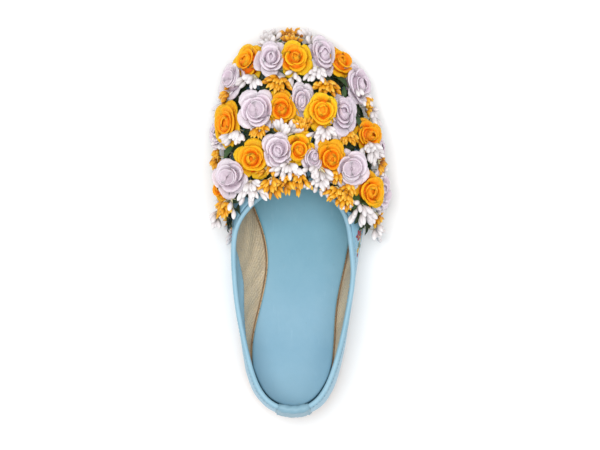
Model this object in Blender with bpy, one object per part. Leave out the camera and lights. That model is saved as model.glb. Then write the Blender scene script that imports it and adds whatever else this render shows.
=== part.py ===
"""Right-foot jutti: a flat slip-on shoe whose vamp is covered with made flowers.

Metres, +Z up, toe towards +Y, outer (little-toe) side towards +X. The origin is on
the floor, at the middle of the heel lift's ground face.
"""

import math
from collections import namedtuple

import bmesh
import bpy
import numpy as np

MM = 0.001
SHOE = "jutti"

# Driving sizes of the shoe
SOLE_LENGTH = 250 * MM
BALL_WIDTH = 88 * MM
THROAT_HEIGHT = 52 * MM
HEEL_END = -29 * MM  # heel end of the feather line, behind the origin

# Thicknesses of the layers
GAP = 0.3 * MM  # between pieces that touch
WALL = 2.0 * MM  # leather and lining of the upper
SOLE_THICK = 4.5 * MM
RAND_THICK = 1.6 * MM  # upper layer of the sole, which steps out past the lower one
LIFT_THICK = 6.0 * MM
INSOLE_THICK = 3.0 * MM
TAB_THICK = 1.2 * MM
BINDING_RADIUS = 1.7 * MM

# Margins measured in plan from the feather line, where the upper meets the sole
RAND_MARGIN = 1.0 * MM
SOLE_MARGIN = 0.2 * MM
SOLE_EDGE_ROUND = 0.8 * MM
LIFT_MARGIN = -0.6 * MM
INSOLE_MARGIN = -WALL - 0.5 * MM
INSOLE_EDGE_ROUND = 1.2 * MM

# Side view of the sole, along Y
SEAT_FRONT = 28 * MM  # the heel seat is level up to here
TREAD_START = 98 * MM  # the forefoot is level from here
SPRING_START = 150 * MM  # the toe lifts off the floor from here
TOE_SPRING = 8 * MM

# Mesh steps
STEPS_PER_SECTION = 4
STEPS_UP = 7
BINDING_SIDES = 6
LIFT_HALF_STEPS = 10  # the heel lift's arc each side of the back seam, in steps
SHARP_ANGLE = math.radians(40)  # edges that turn more than this are drawn as edges

# Back seam and the tab folded over it
HEEL_TURN = 0.5  # place of the back seam, in turns from the toe
TAB_STEPS = (-1.9, -1.0, 0.0, 1.0, 1.9)  # stations across the tab, in steps from the seam
TAB_OUTER_UPS = (0.52, 0.66, 0.78, 0.90)  # up the outside of the wall
TAB_FOLD_ANGLES = (0, 45, 90, 135, 180)  # round the binding, in degrees
TAB_INNER_UPS = (0.90, 0.80)  # down its inside

SLOPE_STEP = 1e-4  # for slopes along and up the wall, in turns and in shares of its height
FOOT_BLEND = 0.2  # share of the wall, from the sole up, over which its edge turns level

# One row for each section round the upper, from the toe by way of the outer side.
# foot and side place the feather line, as shares of the sole's length and the ball's
# width; top_foot, top_side and top_height place the top line, the last as a share of
# the throat's height. swell and rise set how the wall leaves the sole, outwards as a
# share of the ball's width and upwards as a share of the wall's height; reach and drop
# set how it comes up to the top line, in the same shares.
Section = namedtuple(
    "Section", "foot side top_foot top_side top_height swell rise reach drop"
)
SECTIONS = {
    "toe": Section(1.000, -0.034, 0.630, -0.011, 1.000, 0.045, 0.62, 0.480, 0.22),
    "outer_toe": Section(0.945, 0.262, 0.626, 0.114, 0.990, 0.045, 0.62, 0.430, 0.22),
    "little_toe": Section(0.836, 0.455, 0.608, 0.239, 0.960, 0.055, 0.62, 0.320, 0.20),
    "outer_ball": Section(0.700, 0.523, 0.572, 0.352, 0.920, 0.070, 0.60, 0.200, 0.16),
    "outer_joint": Section(0.588, 0.511, 0.520, 0.420, 0.875, 0.080, 0.50, 0.125, 0.16),
    "outer_front": Section(0.484, 0.466, 0.456, 0.443, 0.835, 0.080, 0.45, 0.070, 0.25),
    "outer_waist": Section(0.388, 0.411, 0.380, 0.450, 0.810, 0.071, 0.40, 0.020, 0.35),
    "outer_rear": Section(0.284, 0.353, 0.292, 0.416, 0.825, 0.085, 0.35, 0.020, 0.35),
    "outer_heel": Section(0.164, 0.330, 0.184, 0.350, 0.900, 0.060, 0.35, 0.035, 0.35),
    "outer_corner": Section(0.044, 0.240, 0.060, 0.214, 0.990, 0.032, 0.35, 0.045, 0.35),
    "back": Section(0.000, -0.010, 0.014, -0.020, 1.040, 0.025, 0.35, 0.045, 0.35),
    "inner_corner": Section(0.046, -0.272, 0.058, -0.276, 0.990, 0.032, 0.35, 0.035, 0.35),
    "inner_heel": Section(0.164, -0.364, 0.184, -0.403, 0.900, 0.055, 0.30, 0.020, 0.35),
    "inner_rear": Section(0.284, -0.307, 0.292, -0.462, 0.825, 0.112, 0.25, 0.010, 0.35),
    "inner_waist": Section(0.396, -0.244, 0.384, -0.487, 0.810, 0.172, 0.22, 0.000, 0.35),
    "inner_front": Section(0.492, -0.273, 0.468, -0.493, 0.835, 0.168, 0.27, 0.020, 0.30),
    "inner_joint": Section(0.588, -0.375, 0.532, -0.455, 0.885, 0.100, 0.42, 0.080, 0.20),
    "inner_ball": Section(0.700, -0.466, 0.580, -0.352, 0.930, 0.065, 0.58, 0.190, 0.17),
    "big_toe": Section(0.836, -0.452, 0.610, -0.239, 0.960, 0.055, 0.62, 0.300, 0.20),
    "inner_toe": Section(0.942, -0.307, 0.626, -0.125, 0.990, 0.045, 0.62, 0.410, 0.22),
}
TOP_AIM = 25 * MM  # how strongly the top of a wall follows the feather line's outward way

# Flowers. across and along are where the middle of a bloom shows from above, in
# millimetres from the origin; each bloom sits on the vamp under that spot and turns
# its face up.
Bloom = namedtuple("Bloom", "colour across along")
ROSES = (
    Bloom("orange", -34, 211),
    Bloom("lavender", -16, 212),
    Bloom("orange", 1, 213),
    Bloom("lavender", 18, 214),
    Bloom("orange", 33, 210),
    Bloom("lavender", 47, 201),
    Bloom("lavender", -47, 199),
    Bloom("orange", -49, 169),
    Bloom("lavender", -28, 176),
    Bloom("orange", -9, 178),
    Bloom("lavender", 3, 186),
    Bloom("orange", 16, 178),
    Bloom("lavender", 33, 175),
    Bloom("orange", 49, 167),
    Bloom("lavender", 58, 154),
    Bloom("lavender", -57, 159),
    Bloom("orange", -29, 145),
    Bloom("lavender", -14, 152),
    Bloom("orange", 2, 154),
    Bloom("lavender", 11, 144),
    Bloom("orange", 25, 147),
    Bloom("lavender", 37, 139),
    Bloom("lavender", -45, 134),
    Bloom("orange", -57, 124),
    Bloom("orange", 50, 127),
    Bloom("lavender", 62, 119),
)
SPRAYS = (
    Bloom("yellow", -8, 230),
    Bloom("white", -20, 227),
    Bloom("white", 10, 230),
    Bloom("yellow", 26, 223),
    Bloom("white", -28, 194),
    Bloom("yellow", -12, 195),
    Bloom("white", 8, 199),
    Bloom("yellow", 21, 195),
    Bloom("white", 36, 191),
    Bloom("white", -56, 186),
    Bloom("yellow", 48, 182),
    Bloom("white", -39, 158),
    Bloom("yellow", -23, 161),
    Bloom("white", -10, 164),
    Bloom("yellow", 4, 167),
    Bloom("white", 18, 162),
    Bloom("yellow", 33, 157),
    Bloom("white", 46, 150),
    Bloom("yellow", -60, 143),
    Bloom("white", -26, 130),
    Bloom("yellow", -14, 130),
    Bloom("white", -2, 134),
    Bloom("yellow", 13, 130),
    Bloom("yellow", 28, 120),
    Bloom("white", 40, 106),
    Bloom("yellow", -51, 112),
    Bloom("yellow", 57, 139),
    Bloom("white", -55, 102),
)
VAMP_TURNS = (-0.30, 0.30)  # stretch of the upper that carries flowers
VAMP_UPS = (0.12, 0.96)
HEAD_SHARE = 0.72  # height of a bloom's widest ring, as a share of its height
LEAST_CLOSING = 0.05  # a petal that runs nearly level with a plane does not meet it
TWIST_STEP = math.radians(137.5)
UPWARD = 1.2  # how far a bloom turns from the vamp's normal towards straight up
FULL_LEAN = 0.70  # share of its height from which a bloom has turned all the way
SEARCH_ROUNDS = 4  # each round looks closer round the best place of the last
SEARCH_STEPS = 31

# Rings of a bloom from its seat up: radius and height as shares of its size, and how
# deep its lobes are cut. The last row is the middle of its top.
Ring = namedtuple("Ring", "out up lobe")
Kind = namedtuple("Kind", "name skin radius height lobes sides rings")
ROSE = Kind(
    "rose", "petal", 13.0 * MM, 14.0 * MM, 5, 15,
    (
        Ring(0.20, 0.00, 0.00),
        Ring(0.32, 0.26, 0.00),
        Ring(1.00, 0.70, 0.10),
        Ring(0.70, 0.82, 0.06),
        Ring(0.46, 1.00, 0.04),
        Ring(0.00, 0.86, 0.00),
    ),
)
SPRAY = Kind(
    "spray", "bud", 9.0 * MM, 12.0 * MM, 6, 12,
    (
        Ring(0.14, 0.00, 0.00),
        Ring(0.30, 0.32, 0.00),
        Ring(1.00, 0.78, 0.24),
        Ring(0.58, 1.00, 0.16),
        Ring(0.00, 0.88, 0.00),
    ),
)

# Colour and roughness of each finish; none is metallic
FINISHES = {
    "blue_leather": ((0.36, 0.62, 0.80, 1), 0.45),
    "insole_leather": ((0.30, 0.52, 0.67, 1), 0.55),
    "sole_leather": ((0.43, 0.22, 0.09, 1), 0.60),
    "heel_leather": ((0.25, 0.13, 0.06, 1), 0.60),
    "orange_petal": ((0.92, 0.32, 0.01, 1), 0.60),
    "lavender_petal": ((0.68, 0.58, 0.69, 1), 0.45),
    "yellow_bud": ((0.90, 0.44, 0.03, 1), 0.45),
    "white_bud": ((0.83, 0.80, 0.80, 1), 0.45),
}


def start_shoe():
    """Clear the scene and set the empty that carries every piece."""
    for obj in list(bpy.data.objects):
        bpy.data.objects.remove(obj)
    bpy.context.scene.collection.objects.link(bpy.data.objects.new(SHOE, None))


def finish(name):
    """The material of that finish, made once."""
    if name in bpy.data.materials:
        return bpy.data.materials[name]
    colour, roughness = FINISHES[name]
    material = bpy.data.materials.new(name)
    material.use_nodes = True
    shader = material.node_tree.nodes["Principled BSDF"]
    shader.inputs["Base Color"].default_value = colour
    shader.inputs["Roughness"].default_value = roughness
    shader.inputs["Metallic"].default_value = 0.0
    return material


def add_solid(name, points, faces, finish_name, seat=(0.0, 0.0, 0.0)):
    """One named object with its origin at seat and its faces turned outwards."""
    mesh = bpy.data.meshes.new(name)
    mesh.from_pydata([tuple(point) for point in np.asarray(points) - seat], [], faces)
    shape = bmesh.new()
    shape.from_mesh(mesh)
    bmesh.ops.recalc_face_normals(shape, faces=shape.faces)
    shape.to_mesh(mesh)
    shape.free()
    mesh.shade_smooth()
    mesh.set_sharp_from_angle(angle=SHARP_ANGLE)
    mesh.materials.append(finish(finish_name))
    obj = bpy.data.objects.new(name, mesh)
    obj.location = seat
    obj.parent = bpy.data.objects[SHOE]
    bpy.context.scene.collection.objects.link(obj)


class ClosedCurve:
    """Smooth closed curve through rows of numbers, evenly spaced round one turn."""

    def __init__(self, rows):
        self.rows = np.array(rows, float)
        one = np.eye(len(self.rows))
        system = 4 * one + np.roll(one, 1, axis=0) + np.roll(one, -1, axis=0)
        chords = np.roll(self.rows, -1, axis=0) - np.roll(self.rows, 1, axis=0)
        self.slopes = np.linalg.solve(system, 3 * chords)

    def at(self, turn):
        count = len(self.rows)
        place = np.mod(turn, 1.0) * count
        here = np.floor(place).astype(int) % count
        after = (here + 1) % count
        t = (place - np.floor(place))[..., None]
        return (
            (1 + 2 * t) * (1 - t) ** 2 * self.rows[here]
            + t * (1 - t) ** 2 * self.slopes[here]
            + t**2 * (3 - 2 * t) * self.rows[after]
            + t**2 * (t - 1) * self.slopes[after]
        )


UPPER_CURVE = ClosedCurve(list(SECTIONS.values()))
TURNS = np.arange(len(SECTIONS) * STEPS_PER_SECTION) / (len(SECTIONS) * STEPS_PER_SECTION)


def smooth_step(value):
    t = np.clip(value, 0, 1)
    return t * t * (3 - 2 * t)


def unit(vectors):
    return vectors / np.linalg.norm(vectors, axis=-1, keepdims=True)


def sole_floor(along):
    """Height of the sole's underside: level seat, arch, level tread, toe spring."""
    arch = (LIFT_THICK + GAP) * (1 - smooth_step((along - SEAT_FRONT) / (TREAD_START - SEAT_FRONT)))
    toe_end = HEEL_END + SOLE_LENGTH
    spring = np.clip((along - SPRING_START) / (toe_end - SPRING_START), 0, None)
    return arch + TOE_SPRING * spring**2


def sole_top(along):
    return sole_floor(along) + SOLE_THICK


def feather_line(turn):
    """Plan of the line where the upper meets the sole, as X and Y."""
    row = UPPER_CURVE.at(turn)
    return np.stack([row[..., 1] * BALL_WIDTH, HEEL_END + row[..., 0] * SOLE_LENGTH], -1)


def outward(turn):
    """Unit way out of the feather line, in plan."""
    way = feather_line(turn + SLOPE_STEP) - feather_line(turn - SLOPE_STEP)
    return unit(np.stack([-way[..., 1], way[..., 0]], -1))


def outline(turn, margin):
    """The feather line moved out by margin, in plan."""
    return feather_line(turn) + margin * outward(turn)


def wall(turn, up):
    """Outer face of the upper: turn runs round it, up runs from sole to top line."""
    turn, up = np.broadcast_arrays(np.asarray(turn, float), np.asarray(up, float))
    row = Section(*np.moveaxis(UPPER_CURVE.at(turn), -1, 0))
    foot = feather_line(turn)
    way = outward(turn)
    top = np.stack([row.top_side * BALL_WIDTH, HEEL_END + row.top_foot * SOLE_LENGTH], -1)
    top_way = unit(foot - top + TOP_AIM * way)
    low = sole_top(foot[..., 1]) + GAP
    high = row.top_height * THROAT_HEIGHT
    tall = high - low
    corners = (
        np.concatenate([foot, low[..., None]], -1),
        np.concatenate(
            [foot + way * (row.swell * BALL_WIDTH)[..., None], (low + row.rise * tall)[..., None]], -1
        ),
        np.concatenate(
            [top + top_way * (row.reach * BALL_WIDTH)[..., None], (high - row.drop * tall)[..., None]], -1
        ),
        np.concatenate([top, high[..., None]], -1),
    )
    t = up[..., None]
    weights = ((1 - t) ** 3, 3 * t * (1 - t) ** 2, 3 * t**2 * (1 - t), t**3)
    return sum(weight * corner for weight, corner in zip(weights, corners))


def wall_climb(turn, up):
    """Unit way up the wall, towards the top line."""
    step = SLOPE_STEP
    return unit(wall(turn, up + step) - wall(turn, up - step))


def wall_normal(turn, up):
    """Unit way out of the wall, which is level where the wall meets the sole."""
    step = SLOPE_STEP
    along = wall(turn + step, up) - wall(turn - step, up)
    free = unit(np.cross(wall_climb(turn, up), along))
    flat = np.concatenate([outward(turn), np.zeros(np.shape(turn) + (1,))], -1)
    share = smooth_step(np.asarray(up) / FOOT_BLEND)[..., None] * np.ones_like(free)
    return unit(share * free + (1 - share) * flat)


def ring_faces(first, second, count):
    """Quads between two closed rings of points, given where each ring starts."""
    return [
        (first + i, first + (i + 1) % count, second + (i + 1) % count, second + i)
        for i in range(count)
    ]


def ladder_faces(start, count):
    """Rungs across a closed ring, from each point to the one facing it."""
    tip = (start, start + 1, start + count - 1)
    heel = (start + count // 2 - 1, start + count // 2, start + count // 2 + 1)
    rungs = [
        (start + i, start + i + 1, start + count - i - 1, start + count - i)
        for i in range(1, count // 2 - 1)
    ]
    return [tip, *rungs, heel]


def closed_tube(name, rings, finish_name):
    """Solid whose closed rings follow each other round and meet again."""
    count = len(rings[0])
    faces = []
    for i in range(len(rings)):
        faces += ring_faces(i * count, (i + 1) % len(rings) * count, count)
    add_solid(name, np.concatenate(rings), faces, finish_name)


def capped_stack(name, rings, finish_name):
    """Solid of closed rings one above the other, with the first and last filled."""
    count = len(rings[0])
    faces = ladder_faces(0, count) + ladder_faces((len(rings) - 1) * count, count)
    for i in range(len(rings) - 1):
        faces += ring_faces(i * count, (i + 1) * count, count)
    add_solid(name, np.concatenate(rings), faces, finish_name)


def plan_ring(margin, height):
    """Closed ring over the sole's outline, at a height given by a function of Y."""
    plan = outline(TURNS, margin)
    return np.concatenate([plan, height(plan[:, 1])[:, None]], -1)


def make_outsole():
    """Leather sole of two layers: the upper one steps out as a rand."""
    def step_height(along):
        return sole_top(along) - RAND_THICK

    rings = (
        plan_ring(SOLE_MARGIN - SOLE_EDGE_ROUND, sole_floor),
        plan_ring(SOLE_MARGIN, lambda y: sole_floor(y) + SOLE_EDGE_ROUND),
        plan_ring(SOLE_MARGIN, step_height),
        plan_ring(RAND_MARGIN, step_height),
        plan_ring(RAND_MARGIN, sole_top),
    )
    capped_stack("outsole", rings, "sole_leather")


def make_heel_lift():
    """Low lift under the heel seat, with a straight breast."""
    steps = np.arange(LIFT_HALF_STEPS + 1) / len(TURNS)
    outer = outline(HEEL_TURN - steps, LIFT_MARGIN)
    inner = outline(HEEL_TURN + steps, LIFT_MARGIN)
    breast = (outer[-1:] + inner[-1:]) / 2
    ring = np.concatenate([outer, breast, inner[:0:-1]])
    low = np.concatenate([ring, np.zeros((len(ring), 1))], -1)
    high = low + [0, 0, LIFT_THICK]
    capped_stack("heel_lift", (low, high), "heel_leather")


def make_insole():
    """Padded sock that lies on the sole inside the upper."""
    def low(along):
        return sole_top(along) + GAP

    rings = (
        plan_ring(INSOLE_MARGIN, low),
        plan_ring(INSOLE_MARGIN, lambda y: low(y) + INSOLE_THICK - INSOLE_EDGE_ROUND),
        plan_ring(INSOLE_MARGIN - INSOLE_EDGE_ROUND, lambda y: low(y) + INSOLE_THICK),
    )
    capped_stack("insole", rings, "insole_leather")


def make_upper():
    """One hollow wall: up its outer face, over the top edge, down its inner face."""
    ups = np.linspace(0, 1, STEPS_UP + 1)
    outer = [wall(TURNS, np.full_like(TURNS, up)) for up in ups]
    inner = [
        wall(TURNS, np.full_like(TURNS, up)) - WALL * wall_normal(TURNS, np.full_like(TURNS, up))
        for up in reversed(ups)
    ]
    closed_tube("upper", outer + inner, "blue_leather")


def top_edge(turn):
    """Middle of the binding, with the wall's ways out and up there."""
    top = np.ones_like(turn)
    out, climb = wall_normal(turn, top), wall_climb(turn, top)
    return wall(turn, top) - out * WALL / 2 + climb * (BINDING_RADIUS + GAP), out, climb


def make_collar_binding():
    """Rolled piping that closes the top edge all the way round."""
    middle, out, climb = top_edge(TURNS)
    rings = []
    for side in range(BINDING_SIDES):
        angle = math.tau * side / BINDING_SIDES
        rings.append(middle + BINDING_RADIUS * (math.cos(angle) * out + math.sin(angle) * climb))
    closed_tube("collar_binding", rings, "blue_leather")


def tab_line(turn, clear):
    """Line of the folded tab at one place: up the back, over the binding, down inside."""
    turns = np.array([turn])
    middle, out, climb = top_edge(turns)
    line = []
    for up in TAB_OUTER_UPS:
        line.append(wall(turns, np.array([up]))[0] + clear * wall_normal(turns, np.array([up]))[0])
    for degrees in TAB_FOLD_ANGLES:
        angle = math.radians(degrees)
        way = math.cos(angle) * out[0] + math.sin(angle) * climb[0]
        line.append(middle[0] + (BINDING_RADIUS + clear) * way)
    for up in TAB_INNER_UPS:
        normal = wall_normal(turns, np.array([up]))[0]
        line.append(wall(turns, np.array([up]))[0] - (WALL + clear) * normal)
    return line


def make_heel_tab():
    """Leather tab folded over the top line at the back seam."""
    sections = []
    for step in TAB_STEPS:
        turn = HEEL_TURN + step / len(TURNS)
        near, far = tab_line(turn, GAP), tab_line(turn, GAP + TAB_THICK)
        sections.append(near + far[::-1])
    count = len(sections[0])
    faces = []
    for i in range(len(sections) - 1):
        faces += ring_faces(i * count, (i + 1) * count, count)
    for start in (0, (len(sections) - 1) * count):
        faces += [
            (start + i, start + i + 1, start + count - i - 2, start + count - i - 1)
            for i in range(count // 2 - 1)
        ]
    add_solid("heel_tab", np.concatenate(sections), faces, "blue_leather")


def facing(normal):
    """Way a bloom faces, between the vamp's normal and straight up."""
    return unit(normal + UPWARD * np.array([0.0, 0.0, 1.0]))


def seat_under(bloom, head):
    """Place on the vamp whose bloom, head above it, shows nearest the wanted spot."""
    spot = np.array([bloom.across, bloom.along]) * MM
    turn_range, up_range = VAMP_TURNS, VAMP_UPS
    for _ in range(SEARCH_ROUNDS):
        turns, ups = np.meshgrid(
            np.linspace(*turn_range, SEARCH_STEPS), np.linspace(*up_range, SEARCH_STEPS)
        )
        normals = wall_normal(turns, ups)
        heads = wall(turns, ups) + head * facing(normals)
        miss = np.linalg.norm(heads[..., :2] - spot, axis=-1)
        miss[normals[..., 2] < 0] = SOLE_LENGTH
        best = np.unravel_index(np.argmin(miss), miss.shape)
        turn, up = turns[best], ups[best]
        turn_reach = 2 * (turn_range[1] - turn_range[0]) / SEARCH_STEPS
        up_reach = 2 * (up_range[1] - up_range[0]) / SEARCH_STEPS
        turn_range = (turn - turn_reach, turn + turn_reach)
        up_range = (max(VAMP_UPS[0], up - up_reach), min(VAMP_UPS[1], up + up_reach))
    normal = wall_normal(turn, up)
    return wall(turn, up) + GAP * normal, normal


def cell_planes(middles, spreads, index):
    """Planes that part one bloom from the others, nearer to the smaller of each pair."""
    planes = []
    for other, spread in zip(np.delete(middles, index, 0), np.delete(spreads, index)):
        gap_way = unit(other - middles[index])
        share = spreads[index] / (spreads[index] + spread)
        planes.append((middles[index] + share * (other - middles[index]) - gap_way * GAP / 2, gap_way))
    return planes


def room_along(start, way, planes):
    """How far a petal may reach from start before it meets one of the planes."""
    rooms = [
        np.dot(point - start, normal) / np.dot(way, normal)
        for point, normal in planes
        if np.dot(way, normal) > LEAST_CLOSING
    ]
    return min(rooms, default=SOLE_LENGTH)


def make_bloom(name, seat, normal, twist, kind, planes, finish_name):
    """Lobed solid that rises from the vamp and opens as far as vamp and neighbours let it."""
    face = facing(normal)
    room = planes + [(seat, -normal)]
    points = []
    for ring in kind.rings[:-1]:
        middle = seat + kind.height * ring.up * face
        upright = unit(normal + smooth_step(ring.up / FULL_LEAN) * (face - normal))
        side = unit(np.cross(upright, [0.0, 1.0, 0.0]))
        front = np.cross(side, upright)
        for i in range(kind.sides):
            angle = math.tau * i / kind.sides
            way = math.cos(angle + twist) * side + math.sin(angle + twist) * front
            out = kind.radius * ring.out * (1 + ring.lobe * math.cos(kind.lobes * angle))
            points.append(middle + way * min(out, room_along(middle, way, room)))
    base, top = len(points), len(points) + 1
    points += [seat, seat + kind.height * kind.rings[-1].up * face]
    faces = []
    for i in range(len(kind.rings) - 2):
        faces += ring_faces(i * kind.sides, (i + 1) * kind.sides, kind.sides)
    last = (len(kind.rings) - 2) * kind.sides
    for i in range(kind.sides):
        after = (i + 1) % kind.sides
        faces.append((base, after, i))
        faces.append((top, last + i, last + after))
    add_solid(name, points, faces, finish_name, seat)


def make_flowers():
    """Roses and sprays of buds, each seated on the vamp and fitted to its neighbours."""
    blooms = [(bloom, ROSE) for bloom in ROSES] + [(bloom, SPRAY) for bloom in SPRAYS]
    seats = [seat_under(bloom, HEAD_SHARE * kind.height) for bloom, kind in blooms]
    middles = np.array(
        [
            seat + HEAD_SHARE * kind.height * facing(normal)
            for (seat, normal), (_, kind) in zip(seats, blooms)
        ]
    )
    spreads = np.array([kind.radius for _, kind in blooms])
    made = {}
    for i, ((bloom, kind), (seat, normal)) in enumerate(zip(blooms, seats)):
        made[bloom.colour] = made.get(bloom.colour, 0) + 1
        make_bloom(
            f"{kind.name}_{bloom.colour}_{made[bloom.colour]:02d}",
            seat,
            normal,
            TWIST_STEP * i,
            kind,
            cell_planes(middles, spreads, i),
            f"{bloom.colour}_{kind.skin}",
        )


def main():
    start_shoe()
    make_outsole()
    make_heel_lift()
    make_insole()
    make_upper()
    make_collar_binding()
    make_heel_tab()
    make_flowers()


main()
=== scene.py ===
"""Looks of a right-foot jutti: blue leather, rolled collar, and a vamp covered in made flowers.

Metres, +Z up, toe towards +Y, outer (little-toe) side towards +X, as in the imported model.
"""

import math
import random
from collections import namedtuple
from functools import cached_property

import bmesh
import bpy
import numpy as np
from mathutils import Matrix, Vector


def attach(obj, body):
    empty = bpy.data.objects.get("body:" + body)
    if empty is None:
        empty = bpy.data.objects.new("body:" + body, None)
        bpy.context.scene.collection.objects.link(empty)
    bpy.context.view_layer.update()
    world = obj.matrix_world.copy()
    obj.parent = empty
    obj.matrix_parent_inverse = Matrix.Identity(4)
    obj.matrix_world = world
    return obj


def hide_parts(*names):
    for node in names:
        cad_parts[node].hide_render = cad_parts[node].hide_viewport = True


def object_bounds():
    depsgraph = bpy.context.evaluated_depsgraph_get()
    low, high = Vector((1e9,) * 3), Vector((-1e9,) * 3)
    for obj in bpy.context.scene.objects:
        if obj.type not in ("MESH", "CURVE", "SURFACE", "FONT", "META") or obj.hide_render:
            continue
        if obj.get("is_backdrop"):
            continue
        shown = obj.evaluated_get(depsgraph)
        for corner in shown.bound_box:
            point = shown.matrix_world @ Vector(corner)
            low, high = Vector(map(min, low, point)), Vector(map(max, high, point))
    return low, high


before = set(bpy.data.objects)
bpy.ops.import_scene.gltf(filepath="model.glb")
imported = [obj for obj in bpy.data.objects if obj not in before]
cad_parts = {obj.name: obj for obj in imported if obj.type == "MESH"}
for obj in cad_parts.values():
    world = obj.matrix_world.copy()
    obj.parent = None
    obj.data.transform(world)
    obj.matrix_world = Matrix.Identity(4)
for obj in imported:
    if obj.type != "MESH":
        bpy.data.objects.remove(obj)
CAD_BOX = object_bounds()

MM = 0.001

# Sizes of the shoe, as its solids have them
SOLE_LENGTH = 250 * MM
BALL_WIDTH = 88 * MM
THROAT_HEIGHT = 52 * MM
HEEL_END = -29 * MM
GAP = 0.3 * MM
WALL = 2.0 * MM
SOLE_THICK = 4.5 * MM
RAND_THICK = 1.6 * MM
LIFT_THICK = 6.0 * MM
INSOLE_THICK = 3.0 * MM
TAB_THICK = 1.2 * MM
BINDING_RADIUS = 1.7 * MM
RAND_MARGIN = 1.0 * MM
SOLE_MARGIN = 0.2 * MM
LIFT_MARGIN = -0.6 * MM
INSOLE_MARGIN = -WALL - 0.5 * MM
INSOLE_EDGE_ROUND = 1.2 * MM
SEAT_FRONT = 28 * MM
TREAD_START = 98 * MM
SPRING_START = 150 * MM
TOE_SPRING = 8 * MM
TOP_AIM = 25 * MM
HEEL_TURN = 0.5
SLOPE_STEP = 1e-4
FOOT_BLEND = 0.2

# Sections round the upper, from the toe by way of the outer side, as shares of the sole's
# length (foot, top_foot), of the ball's width (side, top_side, swell, reach), of the
# throat's height (top_height) and of the wall's height (rise, drop).
Section = namedtuple("Section", "foot side top_foot top_side top_height swell rise reach drop")
SECTIONS = {
    "toe": (1.000, -0.034, 0.630, -0.011, 1.000, 0.045, 0.62, 0.480, 0.22),
    "outer_toe": (0.945, 0.262, 0.626, 0.114, 0.990, 0.045, 0.62, 0.430, 0.22),
    "little_toe": (0.836, 0.455, 0.608, 0.239, 0.960, 0.055, 0.62, 0.320, 0.20),
    "outer_ball": (0.700, 0.523, 0.572, 0.352, 0.920, 0.070, 0.60, 0.200, 0.16),
    "outer_joint": (0.588, 0.511, 0.520, 0.420, 0.875, 0.080, 0.50, 0.125, 0.16),
    "outer_front": (0.484, 0.466, 0.456, 0.443, 0.835, 0.080, 0.45, 0.070, 0.25),
    "outer_waist": (0.388, 0.411, 0.380, 0.450, 0.810, 0.071, 0.40, 0.020, 0.35),
    "outer_rear": (0.284, 0.353, 0.292, 0.416, 0.825, 0.085, 0.35, 0.020, 0.35),
    "outer_heel": (0.164, 0.330, 0.184, 0.350, 0.900, 0.060, 0.35, 0.035, 0.35),
    "outer_corner": (0.044, 0.240, 0.060, 0.214, 0.990, 0.032, 0.35, 0.045, 0.35),
    "back": (0.000, -0.010, 0.014, -0.020, 1.040, 0.025, 0.35, 0.045, 0.35),
    "inner_corner": (0.046, -0.272, 0.058, -0.276, 0.990, 0.032, 0.35, 0.035, 0.35),
    "inner_heel": (0.164, -0.364, 0.184, -0.403, 0.900, 0.055, 0.30, 0.020, 0.35),
    "inner_rear": (0.284, -0.307, 0.292, -0.462, 0.825, 0.112, 0.25, 0.010, 0.35),
    "inner_waist": (0.396, -0.244, 0.384, -0.487, 0.810, 0.172, 0.22, 0.000, 0.35),
    "inner_front": (0.492, -0.273, 0.468, -0.493, 0.835, 0.168, 0.27, 0.020, 0.30),
    "inner_joint": (0.588, -0.375, 0.532, -0.455, 0.885, 0.100, 0.42, 0.080, 0.20),
    "inner_ball": (0.700, -0.466, 0.580, -0.352, 0.930, 0.065, 0.58, 0.190, 0.17),
    "big_toe": (0.836, -0.452, 0.610, -0.239, 0.960, 0.055, 0.62, 0.300, 0.20),
    "inner_toe": (0.942, -0.307, 0.626, -0.125, 0.990, 0.045, 0.62, 0.410, 0.22),
}

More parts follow.
